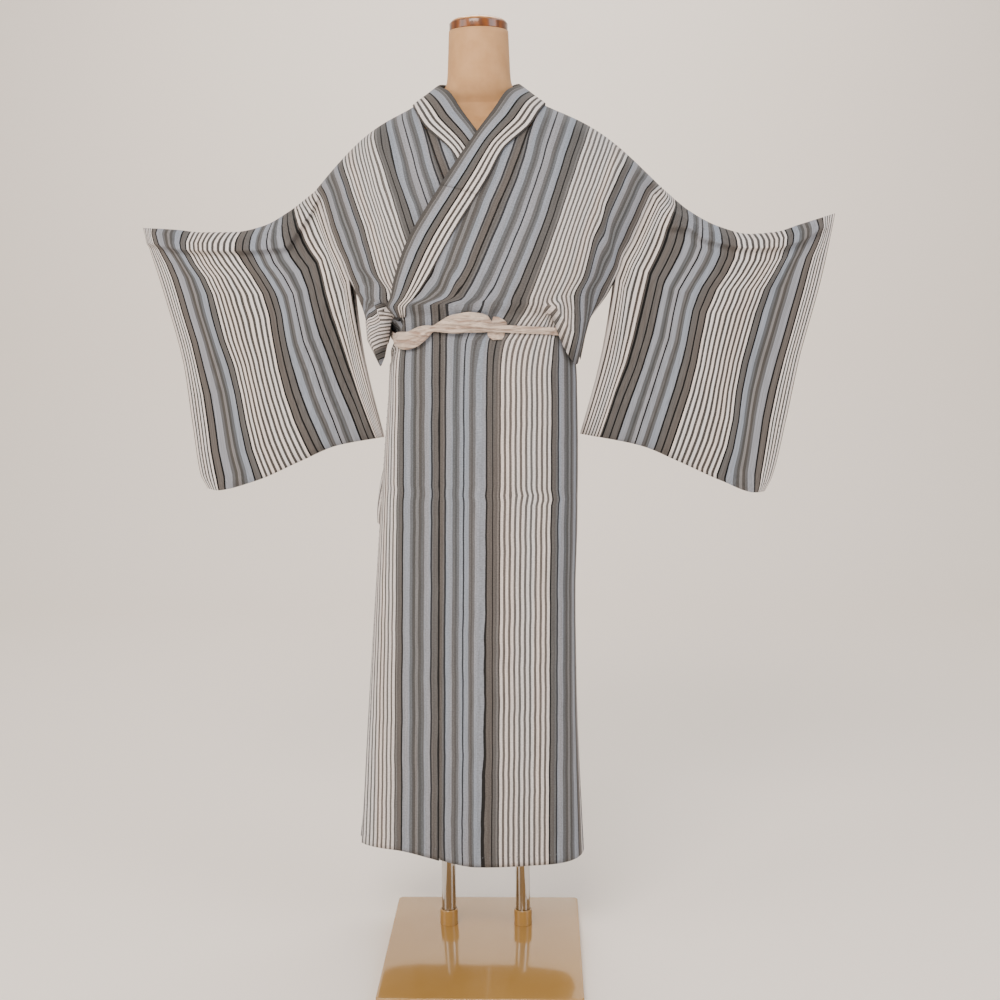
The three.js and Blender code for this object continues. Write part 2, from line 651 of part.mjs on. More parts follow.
function plateGeometry() {
  const { width, depth, thick, middleY, corner, bevel } = PLATE;
  const [w, d] = [width / 2 - bevel, depth / 2 - bevel];
  const shape = new THREE.Shape();
  shape.moveTo(-w + corner, -d);
  shape.lineTo(w - corner, -d);
  shape.absarc(w - corner, -d + corner, corner, -Math.PI / 2, 0);
  shape.absarc(w - corner, d - corner, corner, 0, Math.PI / 2);
  shape.absarc(-w + corner, d - corner, corner, Math.PI / 2, Math.PI);
  shape.absarc(-w + corner, -d + corner, corner, Math.PI, 1.5 * Math.PI);
  const geometry = new THREE.ExtrudeGeometry(shape, {
    depth: thick - 2 * bevel,
    bevelThickness: bevel,
    bevelSize: bevel,
    bevelSegments: 2,
    curveSegments: 4,
  });
  return geometry.translate(0, middleY, bevel);
}
const lathe = (points, sides) =>
  new THREE.LatheGeometry(points.map(([r, z]) => new THREE.Vector2(r, z)), sides).rotateX(Math.PI / 2);
function capGeometry() {
  const { bottom, radius, band, dome, edge } = CAP;
  const top = bottom + band;
  const curve = range(6)
    .slice(1)
    .map((t) => [(radius - edge) * Math.cos((t * Math.PI) / 2), top + dome * Math.sin((t * Math.PI) / 2)]);
  curve[curve.length - 1][0] = 0;
  const side = [[radius - edge, bottom], [radius, bottom + edge], [radius, top - edge], [radius - edge, top]];
  return lathe([[0, bottom], ...side, ...curve], 32);
}
function socketGeometry() {
  const { radius, height, bore, chamfer } = SOCKET;
  const low = PLATE.thick + SEAM_GAP;
  const high = low + height;
  const outside = [[radius, low], [radius, high - chamfer], [radius - chamfer, high]];
  return lathe([[bore, low], ...outside, [bore, high], [bore, low]], 24);
}
function poleGeometry() {
  const { radius, bottom, top } = POLE;
  const geometry = new THREE.CylinderGeometry(radius, radius, top - bottom, 28);
  return geometry.rotateX(Math.PI / 2).translate(0, 0, (top + bottom) / 2);
}

// A solid through rings of points: closed on itself, or with a flat cap at each end.
function loft(rings, { closed = false } = {}) {
  const cols = rings[0].length;
  const positions = rings.flat().flatMap((p) => [p.x, p.y, p.z]);
  const at = (i, j) => (i % rings.length) * cols + (j % cols);
  const index = [];
  for (let i = 0; i < (closed ? rings.length : rings.length - 1); i++)
    for (let j = 0; j < cols; j++) {
      const [a, b, c, d] = [at(i, j), at(i, j + 1), at(i + 1, j + 1), at(i + 1, j)];
      index.push(a, b, c, a, c, d);
    }
  if (!closed)
    for (const [i, turned] of [[0, true], [rings.length - 1, false]]) {
      const middle = rings[i].reduce((sum, p) => sum.add(p), new THREE.Vector3()).divideScalar(cols);
      const hub = positions.length / 3;
      positions.push(middle.x, middle.y, middle.z);
      for (let j = 0; j < cols; j++) {
        const rim = [at(i, j), at(i, j + 1)];
        index.push(hub, ...(turned ? rim.reverse() : rim));
      }
    }
  const geometry = new THREE.BufferGeometry();
  geometry.setAttribute("position", new THREE.Float32BufferAttribute(positions, 3));
  geometry.setIndex(index);
  return geometry;
}

// ---------------------------------------------------------------- assembly
function finish(color, roughness, metalness = 0) {
  return new THREE.MeshStandardMaterial({ color, roughness, metalness });
}
const STRIPED = finish(0xa9adb2, 0.9);
const COLLAR_CLOTH = finish(0x9a9ea3, 0.9);
const TIE_CLOTH = finish(0xd3bfb0, 0.85);
const FORM_CLOTH = finish(0xc4a582, 0.8);
const VARNISHED = finish(0x7a4208, 0.3);
const CHROME = finish(0xd8d8d8, 0.12, 1);
const CREAM = finish(0xc8ab7c, 0.25);

const kimono = new THREE.Group();
function add(name, geometry, material, x = 0) {
  const mesh = new THREE.Mesh(geometry, material);
  mesh.name = name;
  mesh.position.x = x;
  kimono.add(mesh);
}

// A body panel is one strip of cloth from hem to hem, and an overlap panel is another. Both are parted under
// the tie, and the body panel on the shoulder too, because collision shapes follow a short piece more closely.
for (const side of ["left", "right"]) {
  const flip = side === "right";
  const panel = gridOf(panelRows(side), 12);
  const [backWaist, frontWaist] = linesWhere(panel, atWaist);
  const [ridge] = linesWhere(panel, atRidge);
  add("body_front_" + side, wall(panel, CLOTH, { flip, first: ridge, last: frontWaist }), STRIPED);
  add("body_back_" + side, wall(panel, CLOTH, { flip, first: backWaist, last: ridge }), STRIPED);
  add("skirt_front_" + side, wall(panel, CLOTH, { flip, first: frontWaist }), STRIPED);
  add("skirt_back_" + side, wall(panel, CLOTH, { flip, last: backWaist }), STRIPED);
  const overlap = gridOf(overlapRows(side), 6);
  const [waist] = linesWhere(overlap, atWaist);
  add("okumi_" + side, wall(overlap, CLOTH, { flip, last: waist }), STRIPED);
  add("skirt_okumi_" + side, wall(overlap, CLOTH, { flip, first: waist }), STRIPED);
}
add("sleeve_left", wall(sleeveGrid("left", 10, 7), CLOTH, { loop: true, flip: true }), STRIPED);
add("sleeve_right", wall(sleeveGrid("right", 10, 7), CLOTH, { loop: true }), STRIPED);
const collarTop = COLLAR_LIFT + COLLAR_WALL;
const coverTop = collarTop + COVER_GAP + CLOTH;
const collarGrid = gridOf(collarRows(FRONT_ROWS.length - 1, true), 4);
const coverGrid = gridOf(collarRows(COVER_LAST_ROW, false), 4);
add("collar", wall(collarGrid, COLLAR_WALL, { flip: true, raise: collarTop }), COLLAR_CLOTH);
add("collar_cover", wall(coverGrid, CLOTH, { flip: true, raise: coverTop }), COLLAR_CLOTH);
add("tie_band", loft(tieRings(), { closed: true }), TIE_CLOTH);
add("tie_end", wall(gridOf(tieEndRows(), 3), 1, { flip: true }), TIE_CLOTH);
add("form_torso", loft(formRings()), FORM_CLOTH);
add("form_cap", capGeometry(), VARNISHED);
for (const [name, x] of [["left", POLE.apart / 2], ["right", -POLE.apart / 2]]) {
  add("pole_" + name, poleGeometry(), CHROME, x);
  add("socket_" + name, socketGeometry(), CREAM, x);
}
add("base_plate", plateGeometry(), CREAM);

export default kimono;
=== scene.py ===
# %% [markdown]
# # A striped summer kimono on a dress form
# The garment is flat cloth, 345 mm wide, sewn edge to edge and wrapped round a form. This lesson builds it
# the same way: each cut piece is a grid of points on the worn shape, the grid becomes a thin wall of cloth,
# and the place across the loom width stays with every point, so that the woven stripes know where they
# belong.

from collections import namedtuple
from math import cos, pi, radians, sin

import bmesh
import bpy
import numpy as np
from mathutils import Matrix, Vector


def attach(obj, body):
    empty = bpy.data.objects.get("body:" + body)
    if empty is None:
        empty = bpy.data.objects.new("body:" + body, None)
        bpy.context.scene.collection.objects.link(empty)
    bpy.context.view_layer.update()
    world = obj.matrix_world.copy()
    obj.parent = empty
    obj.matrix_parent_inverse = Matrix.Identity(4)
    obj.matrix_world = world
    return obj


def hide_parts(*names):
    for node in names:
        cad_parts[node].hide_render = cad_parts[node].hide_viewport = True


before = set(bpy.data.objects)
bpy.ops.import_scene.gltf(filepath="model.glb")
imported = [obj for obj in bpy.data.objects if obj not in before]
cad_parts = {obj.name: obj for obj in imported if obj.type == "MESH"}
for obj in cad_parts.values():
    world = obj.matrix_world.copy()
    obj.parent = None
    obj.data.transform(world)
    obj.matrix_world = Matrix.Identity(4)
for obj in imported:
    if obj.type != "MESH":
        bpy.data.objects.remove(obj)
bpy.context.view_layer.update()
scene = bpy.context.scene
MM = 0.001  # cloth and form are in millimetres, as on a pattern; camera, lights and room are in metres

CAMERA_PLACE = (0.102, -2.520, 1.127)
TURNED, TILTED, ROLLED = radians(1.6), radians(3.0), radians(0.45)
VIEW_LOWERED = 0.1106  # by a shift of the lens, which bends upright lines less than a tilt would


def add_camera():
    """A normal lens at waist height, turned a little to the left and tilted down."""
    forward = Vector((-sin(TURNED) * cos(TILTED), cos(TURNED) * cos(TILTED), -sin(TILTED)))
    right = Vector((cos(TURNED), sin(TURNED), 0))
    axes = Matrix((right, right.cross(forward), -forward)).transposed().to_4x4()
    camera = bpy.data.objects.new("camera", bpy.data.cameras.new("camera"))
    camera.data.lens = 50.4
    camera.data.shift_x = VIEW_LOWERED * sin(ROLLED)
    camera.data.shift_y = -VIEW_LOWERED * cos(ROLLED)
    camera.matrix_world = Matrix.Translation(CAMERA_PLACE) @ axes @ Matrix.Rotation(-ROLLED, 4, "Z")
    scene.collection.objects.link(camera)
    scene.camera = camera


add_camera()
print("frame:", len(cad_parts), "nodes, camera at", CAMERA_PLACE)

# %% [markdown]
# ## The worn shape
# A section of the garment at any height is a superellipse: power 2 is an ellipse and power 3 has fuller
# corners. Seventeen sections describe the whole form of the cloth. `ring_point` walks round such a section
# by a length of cloth, which is how a tailor thinks: so many millimetres from the middle of the front.

# %% Tables and curves through them


def table(names, *rows):
    """Rows with named columns."""
    Row = namedtuple("Row", names)
    return [Row(*row) for row in rows]


def follow(rows, key, value, at):
    """A smooth curve through one column of a table."""
    return curve([getattr(row, key) for row in rows], [getattr(row, value) for row in rows], at)


def curve(x, y, at):
    """A smooth curve through points that never swings past them (monotone cubic)."""
    x, y = np.array(x, float), np.array(y, float)
    at = np.clip(at, x[0], x[-1])
    i = np.clip(np.searchsorted(x, at) - 1, 0, len(x) - 2)
    slope = np.diff(y) / np.diff(x)
    product = slope[:-1] * slope[1:]
    total = slope[:-1] + slope[1:]
    middle = np.where(product > 0, 2 * product / np.where(total == 0, 1, total), 0)
    tangent = np.concatenate(([slope[0]], middle, [slope[-1]]))
    h = x[i + 1] - x[i]
    s = (at - x[i]) / h
    rise = y[i] * (1 + 2 * s) * (1 - s) ** 2 + y[i + 1] * s * s * (3 - 2 * s)
    return rise + h * (tangent[i] * s * (1 - s) ** 2 + tangent[i + 1] * s * s * (s - 1))


def mix(a, b, t):
    return a + (b - a) * t


def smooth(t):
    t = np.clip(t, 0, 1)
    return t * t * (3 - 2 * t)


def bump(x, middle, width):
    return np.exp(-(((x - middle) / width) ** 2))


def walked(points):
    """Length walked along a line to each of its points."""
    return np.hstack([0, np.cumsum(np.linalg.norm(np.diff(points, axis=0), axis=1))])


def near_line(x, y, x0, y0, x1, y1):
    """The share along a line of the point nearest to each place, and the place's offsets from it."""
    dx, dy = x1 - x0, y1 - y0
    t = np.clip(((x - x0) * dx + (y - y0) * dy) / (dx * dx + dy * dy), 0, 1)
    return t, x - x0 - t * dx, y - y0 - t * dy


# %% The garment's sizes
CLOTH = 1.2
SEAM_GAP = 0.3
LAYER = 7.0  # how far the under front lies inside the over front
HEM_Z = 158.0
HEM_CORNER_LIFT = 24.0
UNDER_HEM_LIFT = 5.0
FRONT_WIDTH = 285.0
BODY_WIDTH = 345.0  # the part of the loom width that a body panel shows, between its seams
LOOM_WIDTH = 366.0
OVERLAP_SEAM_U = 60.0  # the place across the loom width where the overlap panel is sewn on
OVERLAP_WIDTH = 155.0
COLLAR_WALL = 2.0
COLLAR_LIFT = 1.0
COLLAR_TUCK = 5.0
COLLAR_WIDTH = 62.0
COVER_GAP = 0.4
WAIST_Z = 1106.0
SHEET = 0.9  # the thickness of the cloth that shows

SECTIONS = table(
    "z left right front back power",
    (HEM_Z, 232, 180, 104, 110, 2.8),
    (427, 208, 169, 107, 112, 3),
    (621, 193, 167, 108, 114, 3),
    (750, 184, 171, 108, 114, 3),
    (905, 173, 173, 108, 112, 3),
    (1031, 163, 171, 106, 106, 3),
    (WAIST_Z, 157, 161, 104, 100, 2.8),
    (1128, 161, 166, 105, 101, 2.8),
    (1144, 190, 198, 115, 109, 2.6),
    (1165, 224, 230, 124, 118, 2.4),
    (1215, 252, 259, 130, 122, 2.3),
    (1262, 272, 281, 128, 122, 2.3),
    (1355, 297, 328, 118, 112, 2.2),
    (1421, 232, 251, 104, 98, 2.2),
    (1466, 180, 197, 86, 88, 2.2),
    (1502, 115, 116, 62, 78, 2.2),
    (1541, 66, 70, 46, 70, 2.2),
)

# %% Rows of the bodice and the blouse
# From the shoulder ridge down: the start at the overlap seam, the end at the armhole or side, how far the
# row crowns, where the collar's edges cross it, and the loom place of the start.
FRONT_ROWS = table(
    "seam_x seam_z outer_x outer_x_right outer_z crown collar_out collar_in u",
    (116, 1502, 325, 297, 1353, 20, 116, 70, 75),
    (106, 1480, 317, 291, 1346, 18, 106, 48, 72),
    (91, 1451, 306, 283, 1335, 14, 88, 29, 67),
    (73, 1400, 291, 273, 1305, 8, 45, -6, 62),
    (56, 1356, 280, 266, 1280, 4, 21, -38, 60),
    (41, 1322, 269, 258, 1256, 0, 0, -62, 60),
    (10, 1249, 252, 244, 1226, 0, -50, -118, 60),
    (-14, 1195, 240, 232, 1194, 0, -84, -143, 60),
    (-40, 1160, 224, 218, 1160, 0, -110, -152, 60),
)
BACK_ROWS = table(
    "seam_x seam_z outer_x outer_x_right outer_z crown u",
    (84, 1495, 317, 291, 1346, 18, 34),
    (0, 1488, 306, 283, 1335, 14, 0),
    (0, 1440, 291, 273, 1305, 6, 0),
    (0, 1375, 280, 266, 1280, 0, 0),
    (0, 1312, 269, 258, 1256, 0, 0),
    (0, 1250, 252, 244, 1226, 0, 0),
    (0, 1198, 240, 232, 1194, 0, 0),
    (0, 1163, 224, 218, 1160, 0, 0),
)
# The blouse over the tie: where it lies plain, and where it droops in a pouch at the side.
BLOUSE_ROWS = table(
    "plain_z pouch_z plain_out pouch_out",
    (1147, 1088, 2, 27),
    (1139, 1041, 1.5, 9),
    (1134, 1092, 1, 7.5),
    (1128, 1138, 0.4, 1),
    (WAIST_Z, WAIST_Z, 0, 0),
)
# Where two black threads of the left front run, by height: they steer the stripes to their places.
FRONT_STRIPES = table(
    "z x135 x252",
    (1530, 196, 330),
    (1466, 170, 286),
    (1400, 149, 257),
    (1363, 137, 241),
    (1269, 106, 199),
    (1198, 76, 179),
    (1145, 54, 156),
    (1117, 38, 137),
    (1077, 11, 126),
    (1040, 10, 127),
)
SKIRT_ROWS = (1084, 1040, 975, 905, 825, 749, 736, 640, 520, 400, 280, HEM_Z)

# %% Pouches and the tuck
# Across a panel, as shares of its width: where a pouch starts, where it is full and where it turns.
Pouch = namedtuple("Pouch", "start full corner")
POUCHES = {"left": Pouch(0.66, 0.9, 0.88), "right": Pouch(0.855, 0.9, 0.93)}
BACK_POUCH_START, BACK_POUCH_SPREAD = 0.68, 0.28
POUCH_CORNER = 0.22  # how far a pouch rises again where it turns at the side
POUCH_QUICK = 8  # the cloth leaves the tie much faster than it droops
POUCH_STANDS = 0.7
RIGHT_POUCH_OUT = 11.0  # the right pouch is bunched up, so it stands out more than the left one
BUNCH_FOOT_Z = 1130
Tuck = namedtuple("Tuck", "top bottom out place width")
TUCK = Tuck(top=905, bottom=742, out=17, place=0.78, width=0.08)

# %% Points on a section
ARC_STEPS = 60


def section(z, name):
    return follow(SECTIONS, "z", name, z)


def depth_at(x, z, face, inset=0.0):
    """How far the cloth stands from the plane y = 0, in front (face -1) or behind (+1)."""
    reach = np.where(x < 0, section(z, "left"), section(z, "right"))
    share = np.minimum(1, np.abs(x) / reach)
    power = section(z, "power")
    deep = section(z, "front" if face < 0 else "back") * (1 - share**power) ** (1 / power)
    return face * (deep - inset * smooth(deep / 45))


def outline(z, side):
    """Half a section, from mid front to mid back, and the cloth's length along it."""
    z = np.atleast_1d(np.asarray(z, float))[:, None]
    side = np.atleast_1d(np.asarray(side, float))[:, None]
    power = section(z, "power")
    reach = np.where(side < 0, section(z, "left"), section(z, "right"))

    def at(angle, out):
        deep = np.where(angle < pi / 2, section(z, "front"), section(z, "back")) + out
        x = (reach + out) * np.abs(np.sin(angle)) ** (2 / power)
        y = -np.sign(np.cos(angle)) * deep * np.abs(np.cos(angle)) ** (2 / power)
        return side * x, y

    x, y = at(np.linspace(0, pi, ARC_STEPS + 1)[None, :], 0.0)
    pieces = np.hypot(np.diff(x, axis=1), np.diff(y, axis=1))
    lengths = np.hstack([np.zeros((len(pieces), 1)), np.cumsum(pieces, axis=1)])
    return at, lengths


def girth(z, side):
    """Length of cloth round half of the section."""
    return outline(z, side)[1][:, -1]


def ring_point(z, arc, out=0.0):
    """Points a length of cloth away from mid front (+ towards +X), moved out by a distance."""
    z, arc, out = (np.array(v, float) for v in np.broadcast_arrays(z, arc, out))
    at, lengths = outline(z, np.where(arc < 0, -1.0, 1.0))
    length = np.minimum(np.abs(arc), lengths[:, -1])
    i = np.clip((lengths < length[:, None]).sum(axis=1), 1, ARC_STEPS)
    rows = np.arange(len(z))
    before, after = lengths[rows, i - 1], lengths[rows, i]
    t = (length - before) / (after - before)
    x, y = at((pi * (i - 1 + t) / ARC_STEPS)[:, None], out[:, None])
    return np.column_stack([x[:, 0], y[:, 0], z])


def carried(arc, z):
    """An arc at the waist, carried to height z: at the sides and back it follows the section's growth."""
    side = np.where(arc < 0, -1.0, 1.0)
    growth = girth(z, side) / girth(np.full_like(z, WAIST_Z), side)
    return arc * (1 + (growth - 1) * smooth((np.abs(arc) - 125) / 85))


waist_round = float(sum(girth(WAIST_Z, side)[0] for side in (-1.0, 1.0)))
print(f"waist {waist_round:.0f} mm round, over the cloth")

# %% [markdown]
# ## Panels as rows
# A panel is a strip of cloth that starts at the back hem, climbs over the shoulder and comes down to the
# front hem. It is given by rows across it, the way a maker chalks a pattern. Between rows the cloth follows
# a smooth curve. The rows are the same ones that the solid model uses, so the fine cloth lies on the solid.

# %% Rows of the two body panels


SEAM_ARCS = (-78.0, -66.0)  # where the overlap seam lies along the section, at the hem and at the waist


def seam_arc(z):
    return mix(*SEAM_ARCS, np.clip((z - HEM_Z) / (WAIST_Z - HEM_Z), 0, 1))


def side_arc(z):
    return seam_arc(z) + FRONT_WIDTH - 22 * smooth((z - 1000) / 100)


def pouch(side, w, face):
    """How far the blouse droops at a place across the panel: 0 plain, 1 a full pouch."""
    start, full, corner = POUCHES[side]
    if face < 0:
        spread = smooth((w - start) / (full - start))
    else:
        spread = smooth((w - BACK_POUCH_START) / BACK_POUCH_SPREAD)
    return spread * (1 - POUCH_CORNER * smooth((w - corner) / (1 - corner)) ** 2)


def bodice_row(row, side, w, face, inset):
    """w runs from the centre-back or overlap seam (0) to the armhole or side (1)."""
    sign = 1 if side == "left" else -1
    outer = row.outer_x if side == "left" else row.outer_x_right
    x = sign * mix(row.seam_x, outer, w)
    z = mix(row.seam_z, row.outer_z, w) + row.crown * np.sin(pi * np.clip(w, 0, 1)) ** 1.2
    y = np.zeros_like(x) if row is FRONT_ROWS[0] else depth_at(x, z, face, inset)
    return np.column_stack([x, y, z])


def blouse_row(row, side, arc, w, face, inset):
    droop = pouch(side, w, face)
    z = mix(row.plain_z, row.pouch_z, droop)
    quick = np.clip(droop * POUCH_QUICK, 0, 1)
    out = mix(row.plain_out, row.pouch_out, np.maximum(droop, quick * POUCH_STANDS))
    if side == "right":
        out = out + RIGHT_POUCH_OUT * droop * (row.plain_z > BUNCH_FOOT_Z)
    return ring_point(z, carried(arc, z), out - inset * (1 if row.plain_z == WAIST_Z else 1 - quick))


def hem_lift(z, arc, more=0.0):
    if z > HEM_Z:
        return np.zeros_like(arc)
    return (HEM_CORNER_LIFT + more) * smooth((-arc - 10) / 150) * (1 - smooth((-arc - 240) / 150))


def skirt_row(z, arc, out, more=0.0):
    points = ring_point(z, arc, out)
    points[:, 2] += hem_lift(z, arc, more)
    return points


# %% All rows of a body panel


def panel_rows(side, w):
    """Rows of a body panel as (points, loom places), from the back hem to the front hem."""
    sign = 1 if side == "left" else -1
    under = 0.0 if side == "left" else LAYER
    half = SEAM_GAP / 2
    back_inset = under * smooth((w - 0.55) / 0.4)

    def back_arc(z):
        return sign * mix(girth(z, sign)[0] - half, side_arc(z) + half, w)

    def front_arc(z):
        return sign * mix(seam_arc(z) + half, side_arc(z) - half, w)

    def tuck(z):
        if side == "left" or z < TUCK.bottom:
            return 0.0
        return TUCK.out * bump(w, TUCK.place, TUCK.width) * smooth((TUCK.top - z) / 90)

    rows = []
    for z in reversed(SKIRT_ROWS):
        u = girth(z, sign)[0] - half - np.abs(back_arc(z))
        rows.append((skirt_row(z, back_arc(z), tuck(z) - back_inset, UNDER_HEM_LIFT), u))
    for row in reversed(BLOUSE_ROWS):
        rows.append((blouse_row(row, side, back_arc(WAIST_Z), w, 1, back_inset), BODY_WIDTH * w))
    for row in reversed(BACK_ROWS):
        points = bodice_row(row, side, w, 1, back_inset)
        if row.seam_x == 0:
            points[:, 0] += sign * half * (1 - w)
        rows.append((points, across_loom(points, row.u)))
    left_arc = mix(seam_arc(WAIST_Z) + half, side_arc(WAIST_Z) - half, w)
    for row in FRONT_ROWS:
        steered = steered_places(bodice_row(row, "left", w, -1, 0.0), row.u, w)
        rows.append((bodice_row(row, side, w, -1, under), steered))
    for row in BLOUSE_ROWS:
        level = np.full_like(w, row.plain_z)
        plain = ring_point(level, carried(left_arc, level), 0.0)
        steered = steered_places(plain, OVERLAP_SEAM_U, w)
        rows.append((blouse_row(row, side, front_arc(WAIST_Z), w, -1, under), steered))
    for z in SKIRT_ROWS:
        arc = sign * front_arc(z)
        u = OVERLAP_SEAM_U + arc - seam_arc(z)
        if z > 1050:
            u = steered_places(skirt_row(z, arc, 0.0), OVERLAP_SEAM_U, w)
        rows.append((skirt_row(z, front_arc(z), -under, UNDER_HEM_LIFT), u))
    return rows


# %% Loom places of the rows


def crossing(points, rows, column):
    """Where along a row of points (0 to 1) a charted thread crosses it, or None."""
    heights = [row.z for row in rows]
    threads = [getattr(row, column) for row in rows]
    out = points[:, 0] * np.sign(points[-1, 0])
    past = out - np.interp(points[:, 2], heights[::-1], threads[::-1])
    found = np.nonzero((past[:-1] < 0) & (past[1:] >= 0))[0]
    if not len(found):
        return None
    i = found[0]
    return (i - past[i] / (past[i + 1] - past[i])) / (len(points) - 1)


def steered_places(points, start, w):
    """Loom places along a left front row, from start at its seam, by way of two charted threads."""
    marks = [(0.0, start)]
    for place, column in ((135, "x135"), (252, "x252")):
        at = crossing(points, FRONT_STRIPES, column)
        if at is not None and at > marks[-1][0] + 0.02:
            marks.append((at, place))
    marks.append((1.0, BODY_WIDTH))
    return curve([at for at, _ in marks], [place for _, place in marks], w)


def across_loom(points, start):
    """Loom places along a row, by length: from start to the full width at the armhole."""
    lengths = walked(points)
    return mix(start, BODY_WIDTH, lengths / lengths[-1])


# %% Rows of the overlap panels and the collar
FIRST_OVERLAP_ROW = 2
COVER_LAST_ROW = 5
COLLAR_END_RISE = 50.0
COLLAR_SEWN_ARCS = (-140.0, -121.0)  # the collar's sewn edge, at the waist and at the end's top
COLLAR_FREE_ARCS = (-157.0, -166.0)
NECK_TURNS = (22, 45, 68, 90, 112, 135, 158)
NECK_SEAM_X, NECK_SEAM_Z, NECK_SEAM_FALL = 116, 1502, 14
NECK_EDGE_LEFT, NECK_EDGE_RIGHT, NECK_EDGE_DEPTH, NECK_EDGE_Z = 70, 66, 74, 1541


def front_row_point(row, x, sign, inset):
    """A place on a front row that is carried on past the overlap seam, towards the other side."""
    z = row.seam_z + (row.outer_z - row.seam_z) / (row.outer_x - row.seam_x) * (x - row.seam_x)
    y = np.zeros_like(x) if row is FRONT_ROWS[0] else depth_at(sign * x, z, -1, inset)
    return np.column_stack([sign * x, y, z])


def collar_arc(z, arcs=COLLAR_SEWN_ARCS):
    return mix(*arcs, np.clip((z - WAIST_Z) / COLLAR_END_RISE, 0, 1))


def free_edge_arc(z):
    waist = collar_arc(WAIST_Z) - COLLAR_TUCK
    return mix(waist, seam_arc(z) - OVERLAP_WIDTH, smooth((WAIST_Z - z) / 70))


def overlap_rows(side, w):
    """w = 0 is the free edge, or the edge under the collar, and w = 1 the seam to the front."""
    sign = 1 if side == "left" else -1
    inset = 0.0 if side == "left" else LAYER
    half = SEAM_GAP / 2
    rows = []
    for row in FRONT_ROWS[FIRST_OVERLAP_ROW:]:
        x = mix(row.collar_out - COLLAR_TUCK, row.seam_x - SEAM_GAP, w)
        rows.append((front_row_point(row, x, sign, inset), x - row.seam_x))
    for row in BLOUSE_ROWS:
        arc = mix(collar_arc(row.plain_z) - COLLAR_TUCK, seam_arc(WAIST_Z) - half, w)
        rows.append((ring_point(row.plain_z, sign * arc, row.plain_out - inset), arc - seam_arc(WAIST_Z)))
    for z in SKIRT_ROWS:
        arc = mix(free_edge_arc(z), seam_arc(z) - half, w)
        points = ring_point(z, sign * arc, -inset)
        points[:, 2] += hem_lift(z, sign * arc)
        rows.append((points, arc - seam_arc(z)))
    return [(points, -u) for points, u in rows]


def collar_rows(last_front_row, with_ends, w):
    """w = 0 is the neck edge, and w = 1 the edge sewn to the body."""
    ends = {1: [], -1: []}
    if with_ends:
        for sign, inset, count in ((1, 0.0, 4), (-1, LAYER, 1)):
            for row in BLOUSE_ROWS[:count]:
                arc = mix(collar_arc(row.plain_z, COLLAR_FREE_ARCS), collar_arc(row.plain_z), w)
                ends[sign].append(ring_point(row.plain_z, sign * arc, row.plain_out - inset))
    fronts = FRONT_ROWS[: last_front_row + 1]

    def front(row, sign, inset):
        return front_row_point(row, mix(row.collar_in, row.collar_out, w), sign, inset)

    neck = []
    for degrees in NECK_TURNS:
        c, s = cos(radians(degrees)), sin(radians(degrees))
        seam_x, seam_z = NECK_SEAM_X * c, NECK_SEAM_Z - NECK_SEAM_FALL * s
        seam_y = max(float(depth_at(np.array([seam_x]), np.array([seam_z]), 1)[0]), 0)
        edge_x = (NECK_EDGE_RIGHT if c < 0 else NECK_EDGE_LEFT) * c
        y = mix(NECK_EDGE_DEPTH * s, seam_y, w)
        neck.append(np.column_stack([mix(edge_x, seam_x, w), y, mix(NECK_EDGE_Z, seam_z, w)]))
    over = [front(row, 1, 0.0) for row in reversed(fronts)]
    under = [front(row, -1, LAYER) for row in fronts]
    every = ends[1][::-1] + over + neck + under + ends[-1]
    return [(points, w * COLLAR_WIDTH) for points in every]


print("rows in a body panel:", len(panel_rows("left", np.linspace(0, 1, 5))))

# %% [markdown]
# ## From rows to cloth
# `spread` lays a fine grid through the rows. Each point also has its place across the loom (u) and along
# the bolt (v), in millimetres, which becomes the UV map. `wall` gives the grid a thickness, so the cloth
# has an inside, an outside and a real edge.

# %% A fine grid through rows


def spread(rows, step):
    """Points and loom places on a fine grid, with steps of about the given length between rows."""
    cloth = np.array([np.column_stack([points, u]) for points, u in rows])
    middle = cloth.shape[1] // 2
    gaps = np.maximum(np.linalg.norm(np.diff(cloth[:, middle, :3], axis=0), axis=1), 4)
    stations = np.hstack([0, np.cumsum(gaps)])
    tangents = np.gradient(cloth, axis=0)
    tangents[1:-1] = (cloth[2:] - cloth[:-2]) / (stations[2:] - stations[:-2])[:, None, None]
    tangents[0] = (cloth[1] - cloth[0]) / gaps[0]
    tangents[-1] = (cloth[-1] - cloth[-2]) / gaps[-1]
    lines = []
    for i, gap in enumerate(gaps):
        count = max(1, round(gap / step))
        for k in range(count):
            t = k / count
            line = cloth[i] * (1 + 2 * t) * (1 - t) ** 2 + cloth[i + 1] * t * t * (3 - 2 * t)
            line = line + gap * (tangents[i] * t * (1 - t) ** 2 + tangents[i + 1] * t * t * (t - 1))
            lines.append(line)
    lines.append(cloth[-1])
    grid = np.array(lines)
    return grid[:, :, :3], grid[:, :, 3]


def normals_of(grid, loop=False):
    """Unit normals of a grid of points, by its two directions."""
    along = np.gradient(grid, axis=0)
    if loop:
        across = np.roll(grid, -1, axis=1) - np.roll(grid, 1, axis=1)
    else:
        across = np.gradient(grid, axis=1)
    normals = np.cross(along, across)
    return normals / np.maximum(np.linalg.norm(normals, axis=2, keepdims=True), 1e-9)


# %% Meshes and walls of cloth


